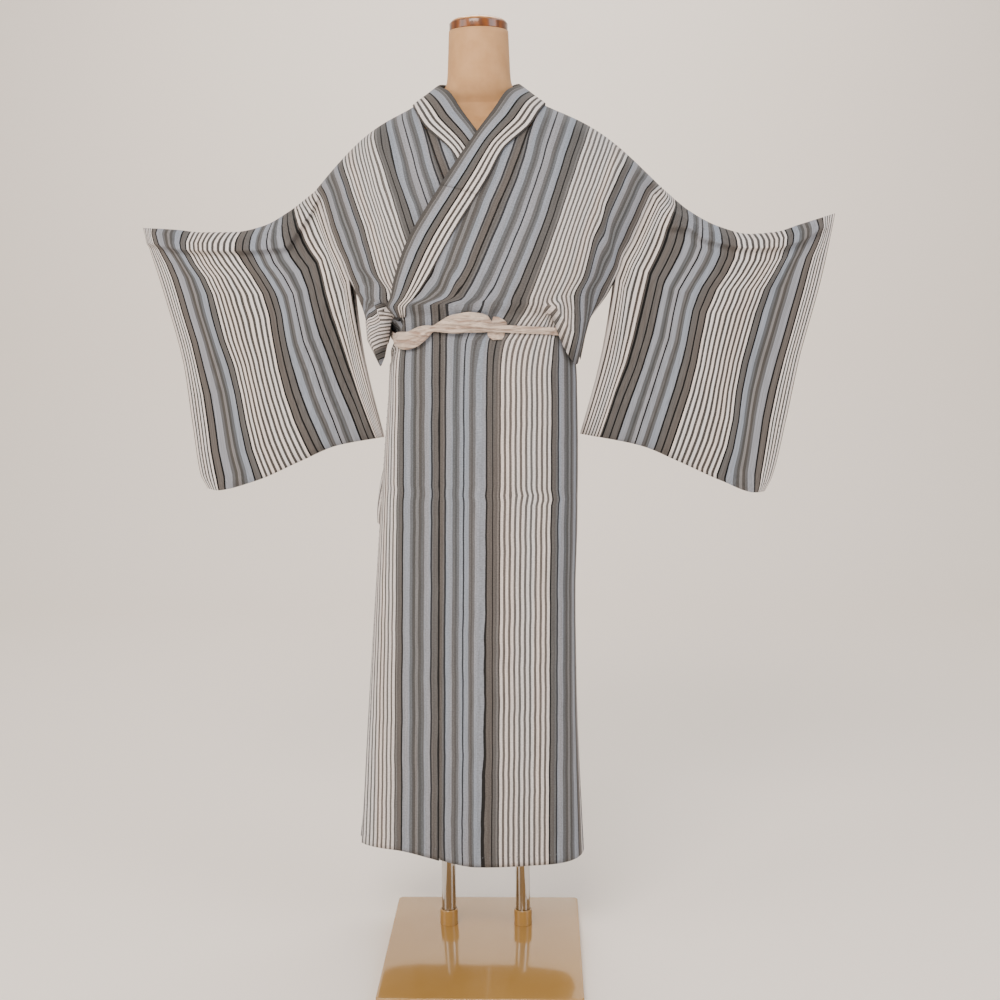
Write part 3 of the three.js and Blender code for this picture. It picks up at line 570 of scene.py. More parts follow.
def mesh_piece(name, points, faces, uv=None):
    """An object at the origin with its place in its mesh, from millimetres, with smooth faces."""
    mesh = bpy.data.meshes.new(name)
    mesh.from_pydata((np.asarray(points) * MM).tolist(), [], faces)
    mesh.update()
    mesh.polygons.foreach_set("use_smooth", [True] * len(mesh.polygons))
    if uv is not None:
        layer = mesh.uv_layers.new(name="cloth")
        corners = np.zeros(len(mesh.loops), int)
        mesh.loops.foreach_get("vertex_index", corners)
        layer.data.foreach_set("uv", (np.asarray(uv)[corners] * MM).ravel())
    piece = bpy.data.objects.new(name, mesh)
    scene.collection.objects.link(piece)
    return piece


def ring_faces(rows, cols, closed=False):
    """Faces between rings of points, with a last one back to the first ring where it is closed."""
    stretches = rows if closed else rows - 1
    i, j = (v.ravel() for v in np.meshgrid(np.arange(stretches), np.arange(cols), indexing="ij"))
    ahead, beside = (i + 1) % rows, (j + 1) % cols
    corners = [i * cols + j, i * cols + beside, ahead * cols + beside, ahead * cols + j]
    return np.column_stack(corners).tolist()


def wall(name, grid, u, thickness, outward=1, raised=0.0, loop=False):
    """A wall of cloth behind a grid of points, with u across and v along it."""
    rows, cols = grid.shape[:2]
    normals = normals_of(grid, loop) * outward
    v = walked(grid[:, cols // 2])
    uv = np.dstack([u, np.repeat(v[:, None], cols, axis=1)]).reshape(-1, 2)
    outer = (grid + normals * raised).reshape(-1, 3)
    inner = (grid + normals * (raised - thickness)).reshape(-1, 3)
    last = cols if loop else cols - 1
    i, j = (a.ravel() for a in np.meshgrid(np.arange(rows - 1), np.arange(last), indexing="ij"))
    a, b = i * cols + j, (i + 1) * cols + j
    c, d = (i + 1) * cols + (j + 1) % cols, i * cols + (j + 1) % cols
    back = rows * cols
    quads = [np.column_stack([a, b, c, d]), np.column_stack([a, d, c, b]) + back]
    j = np.arange(last)
    for row, turned in ((0, False), (rows - 1, True)):
        p, q = row * cols + j, row * cols + (j + 1) % cols
        p, q = (q, p) if turned else (p, q)
        quads.append(np.column_stack([p, q, q + back, p + back]))
    if not loop:
        i = np.arange(rows - 1)
        for col, turned in ((0, True), (cols - 1, False)):
            p, q = i * cols + col, (i + 1) * cols + col
            p, q = (q, p) if turned else (p, q)
            quads.append(np.column_stack([p, q, q + back, p + back]))
    faces = np.vstack(quads)
    if outward < 0:
        faces = faces[:, ::-1]
    return mesh_piece(name, np.vstack([outer, inner]), faces.tolist(), np.vstack([uv, uv]))


def area_of(grid, loop=False):
    """Area of a grid's surface in square metres."""
    along = np.diff(grid, axis=0)
    across = np.diff(np.concatenate([grid, grid[:, :1]], axis=1) if loop else grid, axis=1)
    n = min(along.shape[1], across.shape[1])
    return float(np.linalg.norm(np.cross(along[:, :n], across[: len(along), :n]), axis=2).sum()) * MM * MM


# %% [markdown]
# ## Folds and creases
# Worn cloth isn't smooth. Every fold here is listed: a line from one point to another as seen from
# the front, its width, how far it stands out (or sinks in), and how far it pulls the stripes aside. The
# same field moves every layer, so layers drape together and never cross.

# %% Every fold
FOLDS = table(
    "face x0 z0 x1 z1 width depth jog",
    (-1, 245, 1430, 210, 1300, 14, 3.5, 5),
    (-1, 210, 1300, 232, 1215, 12, 3.0, -5),
    (-1, 165, 1440, 150, 1215, 18, 2.0, 0),
    (-1, -195, 1440, -150, 1262, 12, 3.5, -5),
    (-1, -185, 1452, -118, 1340, 12, 2.5, -4),
    (-1, -240, 1380, -205, 1290, 13, 3.0, 4),
    (-1, -80, 1205, -50, 1135, 11, -3.0, 3),
    (-1, -45, 1200, -22, 1140, 9, 2.5, -3),
    (-1, -62, 1172, -2, 1146, 8, -2.5, 0),
    (-1, 10, 1190, 24, 1138, 8, 2.2, 2),
    (-1, 60, 1180, 66, 1130, 8, -2.0, 2),
    (-1, 96, 1185, 104, 1128, 9, 2.0, 0),
    (-1, 140, 1205, 122, 1122, 11, -2.6, 0),
    (-1, 190, 1240, 168, 1120, 14, 3.0, 0),
    (-1, -205, 1200, -150, 1165, 9, -6.0, 4),
    (-1, -215, 1175, -160, 1150, 7, 5.0, -4),
    (-1, -200, 1132, -158, 1120, 6, -5.0, 3),
    (-1, -196, 1096, -160, 1090, 6, -4.5, -3),
    (-1, -192, 1070, -165, 1064, 5, -3.5, 3),
    (-1, -120, 652, -85, 505, 22, 2.4, 0),
    (-1, -160, 822, 60, 816, 8, -1.2, 1.5),
    (-1, 60, 816, 170, 804, 9, -1.8, -4),
    (-1, -55, 468, 118, 474, 9, 1.6, 0),
    (1, 200, 1420, 120, 1250, 16, 3.0, 0),
    (1, -200, 1420, -110, 1260, 16, 3.0, 0),
    (1, 110, 1330, 60, 1180, 18, 2.5, 0),
    (1, -95, 1320, -70, 1170, 16, 2.5, 0),
    (1, 175, 1250, 120, 1140, 13, -2.5, 0),
    (1, -180, 1255, -115, 1140, 13, -2.5, 0),
    (1, -150, 818, 150, 812, 9, -1.4, 0),
    (1, -60, 640, -20, 470, 26, 2.2, 0),
    (1, 90, 560, 60, 380, 24, -2.0, 0),
)


# %% How folds, pleats and waves move the cloth


def fold_field(points):
    """How far each point moves out, and how far its stripes move aside."""
    x, y, z = (points[..., k] for k in range(3))
    out = np.zeros(x.shape)
    aside = np.zeros(x.shape)
    for fold in FOLDS:
        t, off_x, off_z = near_line(x, z, fold.x0, fold.z0, fold.x1, fold.z1)
        distance = np.hypot(off_x, off_z)
        taper = 0.35 + 0.65 * np.sin(pi * np.clip(0.12 + 0.76 * t, 0, 1))
        here = smooth(fold.face * y / 40) * np.exp(-((distance / fold.width) ** 2)) * taper
        out += fold.depth * here
        aside += fold.jog * here
    return out, aside


PLEATS_ROUND = 47
ABOVE_TIE_Z, BELOW_TIE_Z = 1121, 1078
PLEAT_DEPTH = 1.1
BUNCH_X, BUNCH_Z = 138, 1100  # where the right pouch is bunched: from this x outwards, round this height
BUNCH_DEPTH, BUNCH_RIPPLE = 6, 3.2


def gathers(points):
    """Small pleats above and below the tie, which draws the cloth in, and the right pouch's bunching."""
    x, y, z = (points[..., k] for k in range(3))
    round_it = np.arctan2(x, -y * 1.5)
    uneven = 0.6 + 0.4 * np.sin(11 * round_it + 1)
    fine = np.sin(PLEATS_ROUND * round_it + 1.7 * np.sin(5 * round_it)) * uneven
    near = bump(z, ABOVE_TIE_Z, 26) + 0.8 * bump(z, BELOW_TIE_Z, 30)
    bunched = smooth((-x - BUNCH_X) / 16) * bump(z, BUNCH_Z, 44)
    ripple = np.sin(z / 4.2 + 1.6 * np.sin(x / 9) + 0.08 * y) + 0.5 * np.sin(z / 2.1 + x / 7)
    return PLEAT_DEPTH * fine * near + bunched * (BUNCH_DEPTH + BUNCH_RIPPLE * ripple)


def skirt_waves(points):
    """Long soft folds that fall from the waist, deeper towards the hem."""
    x, y, z = (points[..., k] for k in range(3))
    round_it = np.arctan2(x, -y * 1.6)
    falls = np.sin(9 * round_it + 0.6) * 0.7 + np.sin(5.3 * round_it + 2.2)
    return 1.5 * falls * smooth((1060 - z) / 500)


TURN_TOP_Z, TURN_FOOT_Z, TURN_X = 1152, 1035, 146
TURN_SLOPE, TURN_LONGEST = 1.5, 110


def bunch_turn(points):
    """How far stripes run aside in the right pouch, where the bunched cloth turns them sideways."""
    x, y, z = (points[..., k] for k in range(3))
    here = smooth((-x - TURN_X) / 12) * smooth(-y / 10) * (z > TURN_FOOT_Z)
    return -TURN_SLOPE * np.clip(TURN_TOP_Z - z, 0, TURN_LONGEST) * here


def draped(grid, u, outward):
    """A grid moved by the fold field along its normals."""
    out, aside = fold_field(grid)
    if outward < 0:
        aside = aside + bunch_turn(grid)
    total = out + gathers(grid) + skirt_waves(grid)
    inner_edge = smooth((1460 - grid[..., 2]) / 40)
    return grid + normals_of(grid) * (outward * total * inner_edge)[..., None], u + aside


print(len(FOLDS), "folds placed by hand")

# %% [markdown]
# ## Cutting the cloth
# Every piece is given the size it was cut to. `as_cloth` finishes a piece: it rides on the one
# body, stands for its plain solid, takes the finish it is given, and prints what sheet of cloth it is.

# %% Finish a piece of cloth


def as_piece(piece, nodes, material):
    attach(piece, "root")
    if nodes:
        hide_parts(*nodes)
    piece.data.materials.clear()
    piece.data.materials.append(material)


def as_cloth(piece, nodes, material, flat, area):
    as_piece(piece, nodes, material)
    print(f"{piece.name}: cut {flat[0] * 1000:.0f} x {flat[1] * 1000:.0f} mm, {area:.3f} m2")


# %% [markdown]
# ## Colours and the weave
# The cloth is a thin plain weave of hemp and cotton in dyed threads. Its stripes are charted across the
# loom as (width in millimetres, colour). A colour ramp keeps only 256 steps, so the chart is cut into short
# ramps, which keeps a 2.6 mm line of black sharp.

# %% Colour and node helpers


def linear(hex_colour):
    """An sRGB hex colour as the linear numbers that shaders use."""
    channels = [int(hex_colour[i : i + 2], 16) / 255 for i in (1, 3, 5)]
    return tuple(c / 12.92 if c <= 0.04045 else ((c + 0.055) / 1.055) ** 2.4 for c in channels) + (1.0,)


def node(tree, kind, links=None, settings=None, **values):
    """A node. Settings are its properties, values its sockets' constants, links its inputs by socket."""
    made = tree.nodes.new(kind)
    for name, value in (settings or {}).items():
        setattr(made, name, value)
    for name, value in values.items():
        socket = int(name[1:]) if name[0] == "_" else name  # _3 stands for the fourth input
        made.inputs[socket].default_value = value
    for name, source in (links or {}).items():
        tree.links.new(source, made.inputs[name])
    return made


def material(name, **constants):
    """A new material and its Principled shader, with constants set on the shader's own sockets."""
    made = bpy.data.materials.new(name)
    made.use_nodes = True
    shader = made.node_tree.nodes["Principled BSDF"]
    for socket, value in constants.items():
        shader.inputs[socket.replace("_", " ")].default_value = value
    return made, made.node_tree, shader


# %% Short names for common nodes


def object_place(tree):
    return node(tree, "ShaderNodeTexCoord").outputs["Object"]


def stretched(tree, place, *scale):
    return node(tree, "ShaderNodeMapping", {"Vector": place}, None, Scale=scale).outputs[0]


def noise(tree, place, scale, **more):
    return node(tree, "ShaderNodeTexNoise", {"Vector": place}, None, Scale=scale, **more).outputs[0]


def waves(tree, place, scale, distortion):
    """Bands across X, bent by a distortion."""
    settings = {"bands_direction": "X"}
    made = node(tree, "ShaderNodeTexWave", {"Vector": place}, settings, Scale=scale, Distortion=distortion)
    return made.outputs[0]


def result(tree, operation, a, b=0.5):
    """An operation on an output and a second output or number."""
    is_number = isinstance(b, float)
    made = node(tree, "ShaderNodeMath", {0: a} if is_number else {0: a, 1: b}, {"operation": operation})
    if is_number:
        made.inputs[1].default_value = b
    return made.outputs[0]


def ranged(tree, value, before, after=(0.0, 1.0)):
    """A value carried from one range to another."""
    ends = {"_1": before[0], "_2": before[1], "_3": after[0], "_4": after[1]}
    return node(tree, "ShaderNodeMapRange", {"Value": value}, None, **ends).outputs[0]


def toned(tree, value, low, high, start=0.0, stop=1.0):
    """Two tones, blended by a value between start and stop."""
    ramp = node(tree, "ShaderNodeValToRGB", {"Fac": value})
    for element, position, colour in zip(ramp.color_ramp.elements, (start, stop), (low, high)):
        element.position = position
        element.color = linear(colour)
    return ramp.outputs[0]


# %% Mixing colours and raising a surface


def mixed(tree, links, blend="MIX", factor=None):
    """Mixes colours A and B. The Mix node names its colour sockets by number."""
    made = node(tree, "ShaderNodeMix", None, {"data_type": "RGBA", "blend_type": blend})
    if factor is not None:
        made.inputs[0].default_value = factor
    for name, source in links.items():
        tree.links.new(source, made.inputs[{"Factor": 0, "A": 6, "B": 7}[name]])
    return made.outputs[2]


def multiplied(tree, a, b):
    return mixed(tree, {"A": a, "B": b}, "MULTIPLY", 1.0)


def bumped(tree, height, strength, distance, over=None):
    """The normal of a surface raised by a height, over another normal where one is given."""
    links = {"Height": height} if over is None else {"Height": height, "Normal": over}
    return node(tree, "ShaderNodeBump", links, None, Strength=strength, Distance=distance).outputs[0]


def surface(tree, shader, colour, normal=None):
    """Feeds a colour and a normal to the shader."""
    tree.links.new(colour, shader.inputs["Base Color"])
    if normal is not None:
        tree.links.new(normal, shader.inputs["Normal"])


# %% The stripe chart
BLUE_GREY, GREY, TAUPE = "#8b919a", "#5c5e60", "#5b5957"
BLACK, WHITE, PIN = "#020202", "#dcd7d3", "#444240"
DARK_GREY, PALE_GREY = "#484847", "#757677"


def pins(count, white, grey):
    """Alternate white ground and grey pinstripes."""
    return [(white, WHITE), (grey, PIN)] * count + [(white, WHITE)]


def two_tone(width):
    """A broad grey band woven in two greys."""
    share = width / 5
    return [(share, GREY), (share, DARK_GREY), (share, PALE_GREY), (share, DARK_GREY), (share, GREY)]


DOUBLE_TAUPE = [(3.1, BLACK), (10.4, TAUPE), (2.6, BLACK), (10.4, TAUPE), (3.1, BLACK)]
TWIN_BLUE = (
    [(11, BLUE_GREY), (5, GREY), (3, DARK_GREY), (4, GREY), (6.4, BLUE_GREY), (2.6, BLACK)]
    + [(10, BLUE_GREY), (5, GREY), (3, DARK_GREY), (4, GREY), (11, BLUE_GREY)]
)
SINGLE_TAUPE = [(3.0, BLACK), (10.2, TAUPE), (3.0, BLACK)]
GREY_BAND = [(11, BLUE_GREY)] + two_tone(27) + [(13, BLUE_GREY)]
LOOM_CHART = (
    pins(4, 5.1, 4.3)[:-1]
    + [(3.4, WHITE)]
    + DOUBLE_TAUPE
    + TWIN_BLUE
    + DOUBLE_TAUPE
    + pins(9, 4.9, 4.4)
    + SINGLE_TAUPE
    + GREY_BAND
    + SINGLE_TAUPE
    + pins(3, 5.1, 4.1)
)
OVERLAP_CHART = SINGLE_TAUPE + GREY_BAND + SINGLE_TAUPE + pins(11, 4.8, 3.9)
# a sleeve shows more of the bolt at both edges than a body panel, so its edges carry more and finer pins
SLEEVE_CHART = pins(7, 3.2, 2.65)[:-1] + LOOM_CHART[9:-7] + pins(5, 3.2, 2.8)
COLLAR_CHART = (
    [(6, DARK_GREY), (1, PALE_GREY), (4, GREY), (11, BLUE_GREY), (2.8, BLACK), (9.6, TAUPE), (2.8, BLACK)]
    + pins(3, 4.7, 3.9)
    + [(8, WHITE)]
)
print(f"loom chart {sum(width for width, _ in LOOM_CHART):.0f} mm, {len(LOOM_CHART)} stripes")

# %% Stripes as a chain of short ramps
RAMP_SPAN = 60.0


def ramp_of(tree, place, start, chart):
    """One constant ramp for the next stretch of the chart."""
    share = ranged(tree, place, (start * MM, (start + RAMP_SPAN) * MM))
    ramp = node(tree, "ShaderNodeValToRGB", {"Fac": share})
    ramp.color_ramp.interpolation = "CONSTANT"
    stops = []
    at = 0.0
    for width, colour in chart:
        if at + width > start and at < start + RAMP_SPAN:
            stops.append((max(0.0, (at - start) / RAMP_SPAN), colour))
        at += width
    stops = stops or [(0.0, chart[-1][1])]
    elements = ramp.color_ramp.elements
    while len(elements) < len(stops):
        elements.new(0.5)
    while len(elements) > len(stops):
        elements.remove(elements[-1])
    for element, (position, colour) in zip(elements, stops):
        element.position = position
        element.color = linear(colour)
    return ramp.outputs["Color"]


def stripes(tree, place, chart):
    """The chart's colour at a place across the loom, in metres."""
    length = sum(width for width, _ in chart)
    colour = ramp_of(tree, place, 0.0, chart)
    start = RAMP_SPAN
    while start < length:
        past = result(tree, "GREATER_THAN", place, start * MM)
        other = ramp_of(tree, place, start, chart)
        colour = mixed(tree, {"Factor": past, "A": colour, "B": other})
        start += RAMP_SPAN
    return colour


# %% [markdown]
# ## Hemp and cotton cloth
# Dyed threads differ a little in thickness, so each stripe has fine streaks along the bolt, and the weft
# makes faint ribs across it. The cloth is thin: the layer below shows through as a ghost of its own
# stripes. It has no gloss, only a faint sheen where threads stand up: high roughness and low sheen.

# %% The striped cloth
THREAD = 0.9  # drawn coarser than the real pitch of 0.4 mm, so that the weave can be seen
WANDER = 0.002  # how far a thread strays to each side, in metres
GHOST_SHARE = 0.09  # how much of the layer below shows through


def woven(name, chart, ghost_shift=None):
    """Dyed stripes that wander a little, with streaks, grain and faint patches."""
    made, tree, shader = material(
        name, Roughness=0.86, Sheen_Weight=0.05, Sheen_Roughness=0.55, Specular_IOR_Level=0.25
    )
    uv = node(tree, "ShaderNodeUVMap", None, {"uv_map": "cloth"}).outputs[0]
    axes = node(tree, "ShaderNodeSeparateXYZ", {0: uv})
    # neighbouring threads wander together, so the noise changes slowly across them
    wander = noise(tree, stretched(tree, uv, 0.25, 1.0, 1.0), 14.0, Detail=2.0)
    place = result(tree, "ADD", axes.outputs[0], ranged(tree, wander, (0.0, 1.0), (-WANDER, WANDER)))
    colour = stripes(tree, place, chart)
    if ghost_shift is not None:
        ghost = stripes(tree, result(tree, "ADD", place, ghost_shift * MM), chart)
        colour = mixed(tree, {"A": colour, "B": ghost}, factor=GHOST_SHARE)
    # streaks along the bolt: noise that is 60 times finer across the threads than along them
    along_bolt = stretched(tree, uv, 60.0, 1.0, 1.0)
    streak = noise(tree, along_bolt, 14.0, Detail=4.0)
    colour = multiplied(tree, colour, ranged(tree, streak, (0.3, 0.7), (0.84, 1.12)))
    # the mottled grain of slubby threads, about 2 mm across
    slub = noise(tree, uv, 430.0, Detail=1.0)
    colour = multiplied(tree, colour, ranged(tree, slub, (0.3, 0.7), (0.82, 1.16)))
    # faint warm and cool patches, as thin layers of cloth give
    patch = noise(tree, along_bolt, 1.1, Detail=2.0)
    colour = multiplied(tree, colour, toned(tree, patch, "#fff8f5", "#f6faff", 0.38, 0.62))
    surface(tree, shader, colour, weave(tree, axes))
    return made


def weave(tree, axes):
    """The normal of warp and weft, as two crossed waves."""
    crossed = []
    for output in (axes.outputs[0], axes.outputs[1]):
        crossed.append(result(tree, "SINE", result(tree, "MULTIPLY", output, 2 * pi / (THREAD * MM))))
    return bumped(tree, result(tree, "MULTIPLY", *crossed), 0.25, 0.0003)


striped = woven("hemp_cotton_stripe", LOOM_CHART, ghost_shift=6.0)
sleeve_striped = woven("hemp_cotton_stripe_sleeve", SLEEVE_CHART)
overlap_striped = woven("hemp_cotton_stripe_overlap", OVERLAP_CHART, ghost_shift=5.0)
collar_striped = woven("hemp_cotton_stripe_collar", COLLAR_CHART)
print("four cloths of one weave")

# %% [markdown]
# ## Blind stitches
# Hems and cuffs of a kimono are sewn by hand with blind stitches, so that only a prick of thread shows
# every 12 mm. One small stitch is set on every point of a run by Geometry Nodes, turned to lie along it.
# That is one rule for some hundreds of stitches, and their lengths vary by chance, as if sewn by hand.

# %% Runs of stitches
STITCH_PITCH = 12.0
STITCH_LENGTH = 2.6
STITCH_WIDTH = 0.9
STITCH_RAISED = 0.2
STITCH_SHORTEST, STITCH_LONGEST, STITCH_SEED = 0.7, 1.2, 11  # chance in the length, as shares of it
stitch_runs = []


def sew(grid, outward, loop=False, row=None, column=None, below=None):
    """Marks a run of stitches on a grid's outer face, along one of its rows or columns."""
    face = grid + normals_of(grid, loop) * outward * STITCH_RAISED
    line = face[row] if row is not None else face[:, column]
    if below is not None:
        line = line[line[:, 2] < below]
    stitch_runs.append(line)


def stitch_places():
    """(place, direction) of every stitch of every run."""
    places, directions = [], []
    for line in stitch_runs:
        lengths = walked(line)
        at = np.arange(STITCH_PITCH / 2, lengths[-1], STITCH_PITCH)
        place, ahead = (
            np.column_stack([np.interp(at + step, lengths, line[:, k]) for k in range(3)]) for step in (0, 1)
        )
        places.append(place)
        directions.append(ahead - place)
    return np.vstack(places), np.vstack(directions)


# %% One stitch on every point


def stitch_tree(thread):
    """A stitch along the direction of each point, with a little chance in its length."""
    tree = bpy.data.node_groups.new("blind_stitches", "GeometryNodeTree")
    for name, flow, kind in (
        ("Geometry", "INPUT", "Geometry"),
        ("Length", "INPUT", "Float"),
        ("Width", "INPUT", "Float"),
        ("Geometry", "OUTPUT", "Geometry"),
    ):
        tree.interface.new_socket(name, in_out=flow, socket_type=f"NodeSocket{kind}")
    sizes = node(tree, "NodeGroupInput")
    ball = node(tree, "GeometryNodeMeshUVSphere", None, None, Segments=6, Rings=4, Radius=0.5)
    named = {"data_type": "FLOAT_VECTOR"}
    direction = node(tree, "GeometryNodeInputNamedAttribute", None, named, Name="direction").outputs[0]
    turned_to = node(tree, "FunctionNodeAlignRotationToVector", {"Vector": direction}, {"axis": "X"})
    spread_of_lengths = {"_2": STITCH_SHORTEST, "_3": STITCH_LONGEST, "_8": STITCH_SEED}
    chance = node(tree, "FunctionNodeRandomValue", None, {"data_type": "FLOAT"}, **spread_of_lengths)
    long = result(tree, "MULTIPLY", sizes.outputs[1], chance.outputs[1])
    scale = node(tree, "ShaderNodeCombineXYZ", {"X": long, "Y": sizes.outputs[2], "Z": sizes.outputs[2]})
    links = {"Points": sizes.outputs[0], "Instance": ball.outputs[0]}
    links.update({"Rotation": turned_to.outputs[0], "Scale": scale.outputs[0]})
    placed = node(tree, "GeometryNodeInstanceOnPoints", links)
    real = node(tree, "GeometryNodeRealizeInstances", {0: placed.outputs[0]})
    dyed = node(tree, "GeometryNodeSetMaterial", {"Geometry": real.outputs[0]}, None, Material=thread)
    out = node(tree, "NodeGroupOutput")
    tree.links.new(dyed.outputs[0], out.inputs[0])
    return tree


def stitches_piece(thread):
    """All stitches as one plain mesh."""
    places, directions = stitch_places()
    points = bpy.data.meshes.new("stitch_points")
    points.from_pydata((places * MM).tolist(), [], [])
    attribute = points.attributes.new("direction", "FLOAT_VECTOR", "POINT")
    attribute.data.foreach_set("vector", directions.ravel())
    carrier = bpy.data.objects.new("stitch_carrier", points)
    scene.collection.objects.link(carrier)
    tree = stitch_tree(thread)
    modifier = carrier.modifiers.new("stitches", "NODES")
    modifier.node_group = tree
    sizes = {"Length": STITCH_LENGTH * MM, "Width": STITCH_WIDTH * MM}
    for socket in tree.interface.items_tree:
        if socket.in_out == "INPUT" and socket.name in sizes:
            modifier[socket.identifier] = sizes[socket.name]
    evaluated = carrier.evaluated_get(bpy.context.evaluated_depsgraph_get())
    made = bpy.data.meshes.new_from_object(evaluated)
    bpy.data.objects.remove(carrier)
    piece = bpy.data.objects.new("blind_stitches", made)
    scene.collection.objects.link(piece)
    print("stitches:", len(places), "with", len(made.polygons), "faces")
    return piece


# %% [markdown]
# ## Body panels
# Left and right are the wearer's. The left panel lies on top in front. Each is one strip without a shoulder
# seam, as a kimono is cut, so its stripes run unbroken from the back hem to the front hem.

# %% Build the body panels
STEP = 9.0
for side, outward in (("left", 1), ("right", -1)):
    grid, u = spread(panel_rows(side, np.linspace(0, 1, 91)), STEP)
    grid, u = draped(grid, u, outward)
    piece = wall(f"body_panel_{side}", grid, u, SHEET, outward)
    sew(grid, outward, row=2)
    sew(grid, outward, row=-3)
    area = area_of(grid)
    rests = ["form_torso"]
    walls = [f"{part}_{face}_{side}" for part in ("body", "skirt") for face in ("front", "back")]
    as_cloth(piece, walls, striped, (0.36, 2.90), area)

# %% [markdown]
# ## Overlap panels
# A half-width panel is sewn to each front edge. The left one shows from the collar to the hem. The right
# one lies under it and shows only in the small triangle at the neck.

# %% Build the overlap panels
for side, outward in (("left", 1), ("right", -1)):
    grid, u = spread(overlap_rows(side, np.linspace(0, 1, 29)), STEP)
    grid, u = draped(grid, u, outward)
    piece = wall(f"overlap_panel_{side}", grid, u, SHEET, outward)
    sew(grid, outward, row=-3)
    sew(grid, outward, column=2, below=1070)
    area = area_of(grid)
    rests = [f"body_panel_{side}"]
    walls = [f"okumi_{side}", f"skirt_okumi_{side}"]
    as_cloth(piece, walls, overlap_striped, (0.16, 1.32), area)

# %% [markdown]
# ## Sleeves
# A kimono sleeve is a folded rectangle, sewn to the body only near the top. Here it hangs from the shoulder
# and was held out at the top of the cuff, so a crease runs along under its top fold and the stripes fan out
# from that corner. `a` runs from the body (0) to the cuff (1), and `b` from the top fold (0) to the bottom
# (1).

# %% The sleeve's edges
SLEEVE_TOP = table(
    "along left_x left_z right_x right_z",
    (0, 325, 1353, 297, 1353),
    (0.18, 375, 1311, 345, 1317),
    (0.36, 428, 1283, 392, 1292),
    (0.53, 481, 1270, 445, 1282),
    (0.67, 526, 1273, 500, 1282),
    (0.82, 570, 1286, 548, 1287),
    (1, 632, 1305, 609, 1291),
)
SLEEVE_CUFF = table(
    "along left_x left_z right_x right_z",
    (0, 632, 1305, 609, 1291),
    (0.24, 606, 1187, 573, 1179),
    (0.49, 573, 1062, 541, 1052),
    (0.74, 546, 936, 525, 930),
    (0.94, 522, 836, 513, 845),
    (1, 508, 808, 500, 818),
)
SLEEVE_BOTTOM = table(
    "along left_x left_z right_x right_z",
    (0, 177, 914, 177, 910),
    (0.32, 285, 892, 262, 895),
    (0.55, 358, 861, 336, 864),
    (0.77, 430, 828, 410, 832),
    (0.95, 492, 806, 484, 814),
    (1, 508, 808, 500, 818),
)
ARMHOLE_SHARE = 0.34
ARMHOLE_ROWS = 7
SLEEVE_DEPTH = 9.0
SLEEVE_END_DEPTH = 12.0
CUFF_SEAM = 0.5
CUFF_OPEN = 9.0


# %% Half a sleeve


def edge_line(rows, side, at):
    """Distance out and height along an edge of the sleeve."""
    return [follow(rows, "along", f"{side}_{axis}", at) for axis in "xz"]


def armhole(side, face, inset):
    """(distance out, height, depth) of the body's edge at each row that the sleeve shares."""
    rows = FRONT_ROWS if face < 0 else [FRONT_ROWS[0]] + BACK_ROWS
    points = [bodice_row(row, side, np.array([1.0]), face, inset)[0] for row in rows[: ARMHOLE_ROWS + 1]]
    return np.array([[abs(x) + SEAM_GAP, z, abs(y)] for x, y, z in points])


def sleeve_half(side, face, a, b):
    """Points of a sleeve's front (face -1) or back (+1), for arrays a (rows) and b (columns)."""
    inset = 0.0 if side == "left" else LAYER
    edge = armhole(side, face, inset)
    places = np.linspace(0, ARMHOLE_SHARE, ARMHOLE_ROWS + 1)
    t = np.clip((b - ARMHOLE_SHARE) / (1 - ARMHOLE_SHARE), 0, 1)
    end_x, end_z = edge_line(SLEEVE_BOTTOM, side, 0.0)
    open_edge = (
        mix(edge[-1, 0], end_x, t) + 7 * np.sin(pi * t),
        mix(edge[-1, 1], end_z, t),
        mix(edge[-1, 2], SLEEVE_END_DEPTH, smooth(t * 1.6)) * np.sqrt(1 - t**12),
    )
    sewn = b <= ARMHOLE_SHARE
    inner = [np.where(sewn, np.interp(b, places, edge[:, k]), open_edge[k]) for k in range(3)]
    opened = CUFF_OPEN * np.sqrt(np.sin(pi * np.clip(b / CUFF_SEAM, 0, 1))) * (b < CUFF_SEAM)
    shut = np.where((b > 0.999) | (b < 0.001), 0.0, CLOTH + SEAM_GAP / 2)
    cuff = edge_line(SLEEVE_CUFF, side, b) + [np.maximum(opened, shut)]
    top, low = (edge_line(rows, side, a) + [np.zeros_like(a)] for rows in (SLEEVE_TOP, SLEEVE_BOTTOM))
    a, b = a[:, None], b[None, :]

    def coons(k):
        sides = (1 - a) * inner[k] + a * cuff[k] + (1 - b) * top[k][:, None] + b * low[k][:, None]
        corners = (1 - a) * ((1 - b) * inner[k][0] + b * inner[k][-1])
        return sides - corners - a * ((1 - b) * top[k][-1] + b * low[k][-1])

    fullness = np.sin(pi * a) ** 0.7 * np.minimum(1, 3.2 * np.sqrt(b)) * np.sqrt(1 - b**10)
    towards_body = 30 * np.sin(pi * np.sqrt(b)) * smooth(a / 0.16) * (1 - a) ** 0.6
    sway = 9 * np.sin(pi * b) * np.sin(2.2 * pi * a + 2.4 * b) * smooth(a / 0.3) * smooth((1 - a) / 0.2)
    x = coons(0) - towards_body
    y = face * np.maximum(coons(2) + SLEEVE_DEPTH * fullness, 0) + sway
    sign = 1 if side == "left" else -1
    return np.dstack([sign * x, y, coons(1)])


